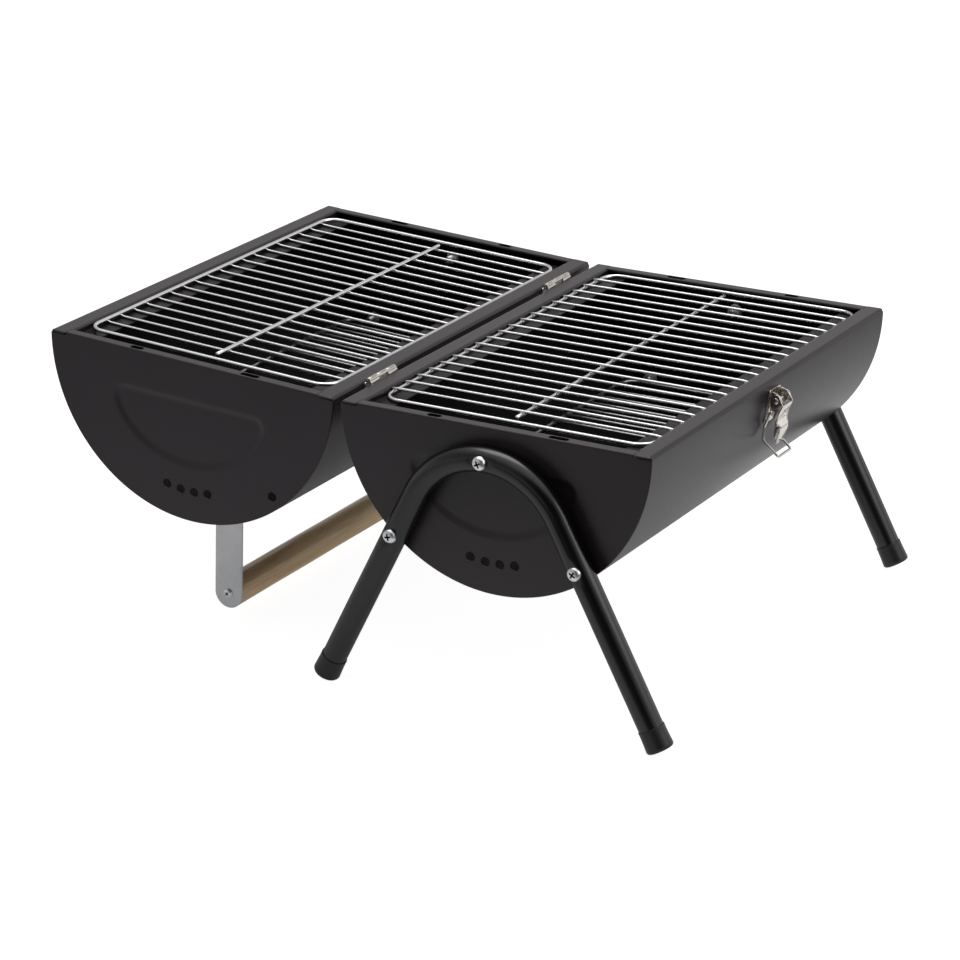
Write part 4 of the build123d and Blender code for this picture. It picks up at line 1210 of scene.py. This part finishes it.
# y, distance down the web, on the +y side
web_half = [(LEVER_HALF, wide_end * 0.5), (LEVER_HALF, wide_end), (9.1, wide_end + 0.9),
            (8.2, wide_end + 1.6), (7.7, neck), (7.3, neck + 5), (6.9, neck + 10),
            (6.5, tip - 3.0), (5.6, tip - 1.0), (4.0, tip - 0.1)]
web_outline = ([(-LEVER_HALF, 0.0), (LEVER_HALF, 0.0)] + web_half + [(0.0, tip)]
               + [(-y, s) for y, s in web_half[::-1]])
web_rows = [row(-6.0, 6.0, 7, s) for s in WEB_PATH[1:-1, 4]
            if 0.7 < s < tip - 1.2 and abs(s - slot_at) > 1.2]
lever = Part().add(sheet(web_outline, [stadium(2.2, 5.6, slot_at, 1.1, steps=5)], web_bend,
                         1.1, 0.22, rows=web_rows))
CHEEK = [(151.9, -19.4), (148.3, -11.4), (146.6, -10.5), (144.4, -10.4), (142.0, -11.6),
         (140.95, -13.3), (140.9, -15.5), (140.7, -19.5), (140.2, -24.5), (140.2, -26.7),
         (141.6, -28.2), (144.9, -31.3), (145.9, -31.6)]
cheek = rounded(CHEEK, 0.9, steps=3, closed=True)
for y0, y1 in ((-LEVER_HALF, -8.35), (8.35, LEVER_HALF)):
    lever.add(prism(cheek, y0, y1, 0.22, [circle(*PIVOT, 1.55, 20),
                                          circle(*BAIL_PIVOT, 1.32, 18)]))
# stiffening lips down both sides of the finger end
LIP = [(148.6, -38.6), (145.3, -49.0), (143.2, -48.6), (142.6, -45.6), (143.4, -40.6),
       (146.0, -37.6)]
lip = rounded(LIP, 1.0, steps=3, closed=True)
for y0, y1 in ((-7.0, -6.1), (6.1, 7.0)):
    lever.add(prism(lip, y0, y1, 0.2))
lever.make("latch_lever_body", RIGHT, [NICKEL], "latch_lever", body="latch_lever", angle=40)

bail_half = [(BAIL_PIVOT[0], -7.5, BAIL_PIVOT[1]), (BAIL_PIVOT[0], -BAIL_Y, BAIL_PIVOT[1]),
             (BAIL_KNEE[0] + 1.2, -BAIL_Y, -38.0), (BAIL_KNEE[0], -BAIL_Y, BAIL_KNEE[1]),
             (BAIL_CROSS[0], -BAIL_Y, BAIL_CROSS[1])]
bail = bail_half + [(x, -y, z) for x, y, z in bail_half[::-1]]
Part().add(tube(rounded(bail, 2.1, steps=7), 1.1, sides=16)).make(
    "latch_bail_wire", RIGHT, [NICKEL], "latch_bail", body="latch_bail", angle=50)

# The catch on the left bowl sits where the bail's cross wire reaches with the bowls closed.
CATCH_X = 144.6
bail_reach = math.sqrt((BAIL_CROSS[0] - BAIL_PIVOT[0]) ** 2 + (BAIL_CROSS[1] - BAIL_PIVOT[1]) ** 2
                       - (CATCH_X - BAIL_PIVOT[0]) ** 2)
CATCH_Z = -((BAIL_PIVOT[1] + bail_reach) - 2 * AXIS_UP)
hook_x = CATCH_X + 1.25 + 0.3
catch = Part()
catch.add(wall_plate(-1, 0.0, 9.0, low=wall_length(-26.0), top=wall_length(CATCH_Z + 2.9),
                     corner=2.2, columns=8, levels=6, top_gap=1.0))
hook = rounded(((-(BARREL_R + 0.35), CATCH_Z + 2.15), (-(hook_x + 0.55), CATCH_Z + 2.15),
                (-(hook_x + 0.75), CATCH_Z - 2.9)), 1.3)
catch.add(prism(strip(hook), -6.5, 6.5, 0.2))
catch.make("catch_hook_plate", LEFT, [NICKEL], "catch_plate", angle=40)
wall_rivets("catch_plate_rivets", LEFT, -1, -19.5, (-5.5, 5.5), latch_rivet, NICKEL,
            "catch_rivets")

# ------------------------------------------------------------------ handle
rod_lo, rod_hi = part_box("handle_rod")
ROD_Z = float((np.array(LEFT.matrix.inverted()) @ np.array(
    [(rod_lo.x + rod_hi.x) / 2, 0.0, (rod_lo.z + rod_hi.z) / 2, 1.0]))[2])
STRAP_HALF = 13.5
STRAP_Y = 151.0                          # outer face of the straps
STRAP_T = 2.0
FOOT_Z = -BARREL_R - GAP                 # top of the foot under the barrel
FOOT_BEND = 2.6
FOOT_START = FOOT_Z - FOOT_BEND          # distances up the flat strap
FOOT_FLAT = FOOT_START + FOOT_BEND * math.pi / 2
FOOT_END = FOOT_FLAT + 21.4


def strap_bend(uv, h):
    """u runs across; v goes from the rod to the foot, which turns in under the barrel."""
    x, s = uv[:, 0], uv[:, 1]
    turn = (s - FOOT_START) / FOOT_BEND
    zones = [turn > math.pi / 2, s > FOOT_START]
    bend_y = -STRAP_Y + FOOT_BEND
    y = np.select(zones, [bend_y + (s - FOOT_START - FOOT_BEND * math.pi / 2),
                          bend_y - FOOT_BEND * np.cos(turn)], -STRAP_Y)
    z = np.select(zones, [FOOT_Z, FOOT_START + FOOT_BEND * np.sin(turn)], s)
    ny = np.select(zones, [0.0, -np.cos(turn)], -1.0)
    nz = np.select(zones, [1.0, np.sin(turn)], 0.0)
    return np.stack([x, y + ny * h, z + nz * h], 1)


def strap_mesh():
    round_end = list(arc(0, ROD_Z, STRAP_HALF, 180, 360, 30))
    edge = [(STRAP_HALF, s) for s in np.linspace(ROD_Z + 6, FOOT_START, 14)]
    edge += [(STRAP_HALF, FOOT_START + 0.8 * i) for i in range(1, 6)]
    edge += [(STRAP_HALF, FOOT_END - 4)]
    edge += list(arc(STRAP_HALF - 4, FOOT_END - 4, 4, 0, 90, 6))
    outline = np.array(round_end + edge + [(-x, s) for x, s in edge[::-1]])
    levels = ([FOOT_START - 0.8, FOOT_START] + [FOOT_START + 0.5 * i for i in range(1, 9)]
              + [FOOT_FLAT + 0.8])
    return sheet(outline, [circle(0, ROD_Z, 2.3, 20)], strap_bend, STRAP_T, 0.4,
                 rows=[row(-12.4, 12.4, 9, s) for s in levels])


strap = strap_mesh()
for end, matrix in (("front", None), ("rear", TURN)):
    Part().add(strap, matrix).make("handle_side_strap_" + end, LEFT, [STEEL],
                                   "handle_strap_" + end, weighted=True)

ROD_R = 13.4
ROD_HALF = 148.96
ROD_END = [  # radius, height; screw bore, end face and rounded edge
    (0.0, -ROD_HALF + 24), (2.1, -ROD_HALF + 24), (2.1, -ROD_HALF + 0.3), (2.4, -ROD_HALF),
    (ROD_R - 1.3, -ROD_HALF), (ROD_R - 0.6, -ROD_HALF + 0.25), (ROD_R - 0.15, -ROD_HALF + 0.8),
    (ROD_R, -ROD_HALF + 1.6)]
# the turned surface wavers slightly
rod_wave = [(ROD_R - 0.06 * (1 + math.sin(0.055 * y + 0.7)), y)
            for y in np.linspace(-ROD_HALF + 6, ROD_HALF - 6, 44)]
rod = lathe(both_ends(ROD_END, rod_wave), 64, origin=(0, 0, ROD_Z), axis=(0, 1, 0))
Part().add(rod).make("handle_grip_rod", LEFT, [WOOD], "handle_rod", angle=40)

screws, bolts, nuts = Part(), Part(), Part()
for end, turn in ((-1, 0.75), (1, 0.3)):
    screw = pan_screw(head_r=4.2, head_h=2.5, shank_r=2.0, reach=24.0, thread=20.0, turn=turn)
    screws.add(screw, place((0, end * STRAP_Y, ROD_Z), (0, end, 0)),
               recess_slots(screw, head_r=4.2, head_h=2.5))
screws.make("handle_end_screws", LEFT, [ZINC, RECESS_SHADE], "handle_screws", angle=32)
M5_HEIGHT = 4.0
m5_nut = nut(flats=8.0, height=M5_HEIGHT, bore=2.45)
for y in (-136.0, 136.0):
    bolts.add(pan_screw(head_r=4.6, head_h=2.8, shank_r=2.5, reach=11.5, thread=8.5, turn=0.3),
              place((0, y, FOOT_Z - STRAP_T), (0, 0, -1)))
    nuts.add(m5_nut, place((0, y, -BARREL_R + SHEET + 0.14), (0, 0, 1))
             @ Matrix.Translation((0, 0, M5_HEIGHT)))
bolts.make("handle_foot_bolts", LEFT, [ZINC], "handle_bolts", angle=32)
nuts.make("handle_foot_nuts", LEFT, [ZINC], "handle_nuts", angle=32)

# ------------------------------------------------------------------ wire grates
BARS = 19
BAR_R = 1.2
BAR_SAG = 0.4


def wire_ring(half_x, half_y, corner, r, z, middle_y):
    corners = [(half_x, -half_y + middle_y, z), (half_x, half_y + middle_y, z),
               (-half_x, half_y + middle_y, z), (-half_x, -half_y + middle_y, z)]
    ring = rounded(corners, corner, steps=12, closed=True)
    path = []
    for a, b in zip(ring, np.roll(ring, -1, 0)):
        count = max(1, int(np.linalg.norm(b - a) / 12))
        path += [a + (b - a) * j / count for j in range(count)]
    return tube(path, r, sides=18, closed=True, ref=(0, 0, 1))


def bead(x, y, z, rx, ry, rz):
    """Small weld nugget."""
    sides, bands = 10, 5
    points, faces = [], []
    for i in range(1, bands):
        tilt = math.pi * i / bands
        for k in range(sides):
            t = 2 * math.pi * k / sides
            points.append((x + rx * math.sin(tilt) * math.cos(t),
                           y + ry * math.sin(tilt) * math.sin(t), z + rz * math.cos(tilt)))
    for i in range(0, (bands - 2) * sides, sides):
        for k in range(sides):
            after = (k + 1) % sides
            faces.append((i + k, i + after, i + sides + after, i + sides + k))
    points += [(x, y, z + rz), (x, y, z - rz)]
    top, last = (bands - 1) * sides, (bands - 2) * sides
    for k in range(sides):
        after = (k + 1) % sides
        faces.append((top, after, k))
        faces.append((top + 1, last + k, last + after))
    return np.array(points), faces


def grate(kind, side, material, seed, half_x, half_y, corner, frame_r, frame_z, pitch, bar_half,
          bar_z, middle_y, bars_y, spine_x, spine_half):
    """Rim wire, one lengthwise middle wire and the cross bars welded to them."""
    random = np.random.RandomState(seed)
    name = f"{side.name}_{kind}_"

    def make(part, piece, stands_for):
        part.make(name + piece, side, [material], name + stands_for, body=name + "grate",
                  angle=60)

    make(Part().add(wire_ring(half_x, half_y, corner, frame_r, frame_z, middle_y)),
         "rim_wire", "frame")
    spine = [(spine_x, y + middle_y, frame_z) for y in np.linspace(-spine_half, spine_half, 30)]
    make(Part().add(tube(spine, frame_r, sides=18, ref=(0, 0, 1), dome=0.35)),
         "middle_wire", "spine")
    bars = Part()
    up = 1.0 if bar_z > frame_z else -1.0
    weld_z = (bar_z + frame_z) / 2 + (BAR_R - frame_r) * 0.5 * -up
    x = np.linspace(-bar_half, bar_half, 49)
    from_middle = np.abs(x)
    for i in range(BARS):
        bar_y = bars_y - pitch * (BARS - 1) / 2 + i * pitch
        if kind == "cooking":
            bar_y += random.uniform(-0.7, 0.7)
        skew, bow, ripple = random.uniform(-0.22, 0.22, 3)
        y = (bar_y + skew * np.sin(math.pi * x / bar_half)
             + bow * np.cos(math.pi * x / (2 * bar_half)))
        # wires dip a little where they are pressed into the welds
        dip = 0.10 - 0.10 * np.exp(-((x - spine_x) / 9.0) ** 2)
        z = np.full(len(x), bar_z) + up * BAR_SAG * dip * (from_middle < bar_half - 6)
        z = z + (ripple * 0.25 * np.sin(2 * math.pi * x / bar_half + i)
                 * (from_middle < bar_half - 12))
        # the ends are pressed against the side wires
        z = z - up * 0.55 * np.clip((from_middle - bar_half + 5.0) / 5.0, 0, 1) ** 2
        bars.add(tube(np.stack([x, y, z], 1), BAR_R, ref=(0, 0, 1), dome=0.3))
        for weld_x in (-half_x, half_x, spine_x):
            if abs(weld_x) > 1 and abs(bar_y - middle_y) > half_y - corner:
                continue
            nearest = int(np.argmin(abs(x - weld_x)))
            size_x = 1.7 + random.uniform(-0.15, 0.3)
            size_y = 1.6 + random.uniform(-0.15, 0.3)
            bars.add(bead(weld_x, y[nearest], weld_z, frame_r * 0.82 + size_x * 0.42,
                          BAR_R * 0.82 + size_y * 0.42, 0.95))
    make(bars, "cross_bars", "bars")


# Heights. The right grate lies frame down on its ledge, the left one bars down.
STACK = 1.75 + 1.25 - 0.25               # between wire centres of frame and bars
RIGHT_FRAME_Z = LEDGE_Z + 1.75 + GAP
LEFT_BAR_Z = LEDGE_Z + 1.25 + GAP
CHARCOAL_Z = -95.6
grate("cooking", RIGHT, CHROME, seed=11, half_x=120.2, half_y=189.2, corner=15.0, frame_r=1.7,
      frame_z=RIGHT_FRAME_Z, pitch=18.5, bar_half=121.7, bar_z=RIGHT_FRAME_Z + STACK,
      middle_y=10.5, bars_y=6.75, spine_x=-2.0, spine_half=179.2)
grate("cooking", LEFT, CHROME, seed=12, half_x=120.2, half_y=185.0, corner=15.0, frame_r=1.7,
      frame_z=LEFT_BAR_Z + STACK, pitch=18.2, bar_half=121.7, bar_z=LEFT_BAR_Z,
      middle_y=0.0, bars_y=6.95, spine_x=3.5, spine_half=175.0)
for side, seed in ((RIGHT, 21), (LEFT, 22)):
    grate("charcoal", side, CHROME_LOW_SHADE, seed=seed, half_x=97.0, half_y=187.0, corner=14.0,
          frame_r=1.75, frame_z=CHARCOAL_Z, pitch=18.5, bar_half=98.2,
          bar_z=CHARCOAL_Z + STACK, middle_y=0.0, bars_y=0.0, spine_x=0.0, spine_half=180.0)


# ------------------------------------------------------------------ world, floor, light, camera
def studio_world():
    """White to the camera; a graded studio to everything else."""
    world = bpy.data.worlds.new("studio")
    bpy.context.scene.world = world
    sky = Shader(world)
    ray = sky.node("TexCoord").outputs["Generated"]
    height = sky.math("ADD", sky.math("MULTIPLY", sky.dot(ray, (0, 0, 1)), 0.5), 0.5)
    light = sky.ramp(height, stops=[(0.5, 0.98), (0.6, 0.80), (0.69, 0.50), (0.80, 0.46),
                                    (0.90, 0.95), (1.0, 1.30)])
    # direction, gain range, span of the direction's cosine; the last is behind the camera
    for direction, gain, span in (((0.8, 0.25, 0.1), (0.72, 1.25), (-1.0, 1.0)),
                                  ((0.25, -1.0, 0.0), (1.0, 0.55), (-0.2, 1.0)),
                                  ((0.48, -0.80, 0.35), (1.0, 0.07), (0.80, 0.93))):
        light = sky.math("MULTIPLY", light,
                         sky.spread(sky.dot(ray, direction), to=gain, span=span))
    camera_ray = sky.node("LightPath").outputs["Is Camera Ray"]
    sky.set(sky.tree.nodes["Background"],
            {"Color": sky.mix(camera_ray, low=light, high=(1.0, 1.0, 1.0)), "Strength": 1.0})


def floor_material():
    mat = new_material("studio_floor")
    mat.tree.nodes.clear()
    place = mat.node("TexCoord").outputs["Object"]

    def glowing(diffuse, color, strength):
        matte = mat.node("BsdfDiffuse", {"Color": diffuse}).outputs[0]
        glow = mat.node("Emission", {"Color": color, "Strength": strength}).outputs[0]
        return mat.node("AddShader", {0: matte, 1: glow}).outputs[0]

    paper = mat.noise(place, scale=3.0, detail=2.0)
    seen = glowing(mat.mix(paper, low=(0.20, 0.20, 0.20), high=(0.22, 0.22, 0.22)),
                   (1, 1, 1), 0.955)
    # what the object sees of the floor is painted light: a glow full on the far right, less towards
    # the front left
    right = mat.spread(mat.dot(place, (0.75, 0.66, 0.0)), to=(0.16, 0.70), span=(-0.9, 0.9))
    far = mat.spread(mat.dot(place, (0.0, 1.0, 0.0)), to=(1.0, 0.32), span=(0.36, 0.85))
    wedge = mat.spread(mat.dot(place, (0.85, -0.53, 0.0)), to=(1.0, 0.08), span=(0.38, 0.55))
    distance = mat.node("VectorMath", {0: place}, operation="LENGTH").outputs["Value"]
    # painted shadow: the glow dims near the object, where it shades the floor
    under = mat.spread(distance, to=(0.60, 1.0), span=(0.12, 0.30))
    glow = mat.math("MULTIPLY", mat.math("MULTIPLY", right, far), under)
    lit = glowing(mat.mix(wedge, low=(0.03, 0.03, 0.03), high=(0.31, 0.31, 0.31)),
                  (0.97, 0.985, 1.0), mat.math("MULTIPLY", glow, wedge))
    camera_ray = mat.node("LightPath").outputs["Is Camera Ray"]
    both = mat.node("MixShader", {0: camera_ray, 1: lit, 2: seen}).outputs[0]
    mat.node("OutputMaterial", {"Surface": both})
    return mat.owner


def studio_floor(half=16):
    mesh = bpy.data.meshes.new("studio_floor")
    mesh.from_pydata([(-half, -half, 0), (half, -half, 0), (half, half, 0), (-half, half, 0)],
                     [], [(0, 1, 2, 3)])
    floor = bpy.data.objects.new("studio_floor", mesh)
    bpy.context.scene.collection.objects.link(floor)
    mesh.materials.append(floor_material())


def softbox(name, location, target, size, power):
    light = bpy.data.lights.new(name, "AREA")
    light.shape = "RECTANGLE"
    light.size, light.size_y = size
    light.energy = power
    light.color = (1, 1, 1)
    ob = bpy.data.objects.new(name, light)
    ob.location = location
    ob.rotation_mode = "QUATERNION"
    ob.rotation_quaternion = (Vector(target) - Vector(location)).to_track_quat("-Z", "Y")
    bpy.context.scene.collection.objects.link(ob)


def camera():
    """Looks down from the front right."""
    data = bpy.data.cameras.new("camera")
    data.lens = 129.67
    data.sensor_width = 36.0
    data.clip_start = 0.1
    data.clip_end = 60.0
    ob = bpy.data.objects.new("camera", data)
    right = Vector((0.85998, 0.51014, -0.01372)).normalized()
    forward = Vector((-0.48194, 0.80301, -0.35058)).normalized()
    up = right.cross(forward).normalized()
    right = forward.cross(up).normalized()
    matrix = Matrix((right, up, -forward)).transposed().to_4x4()
    matrix.translation = Vector((AXIS_X + 1429.944, -2373.68, RIM_Z + 899.75)) / 1000.0
    ob.matrix_world = matrix
    bpy.context.scene.collection.objects.link(ob)
    bpy.context.scene.camera = ob


def render_settings():
    scene = bpy.context.scene
    scene.cycles.caustics_reflective = False
    scene.cycles.caustics_refractive = False
    scene.cycles.sample_clamp_indirect = 2.5
    scene.cycles.blur_glossy = 0.6
    scene.cycles.denoising_input_passes = "RGB_ALBEDO"
    scene.view_settings.view_transform = "Standard"
    scene.view_settings.look = "None"
    scene.view_settings.exposure = 0.0
    scene.view_settings.gamma = 1.0


studio_world()
studio_floor()
softbox("top_softbox", location=(-0.3, 0.5, 2.2), target=(0, 0, 0.15), size=(1.6, 1.2), power=16.0)
softbox("side_softbox", location=(2.3, 0.3, 1.3), target=(0, 0, 0.2), size=(1.4, 1.0), power=9.0)
camera()
render_settings()
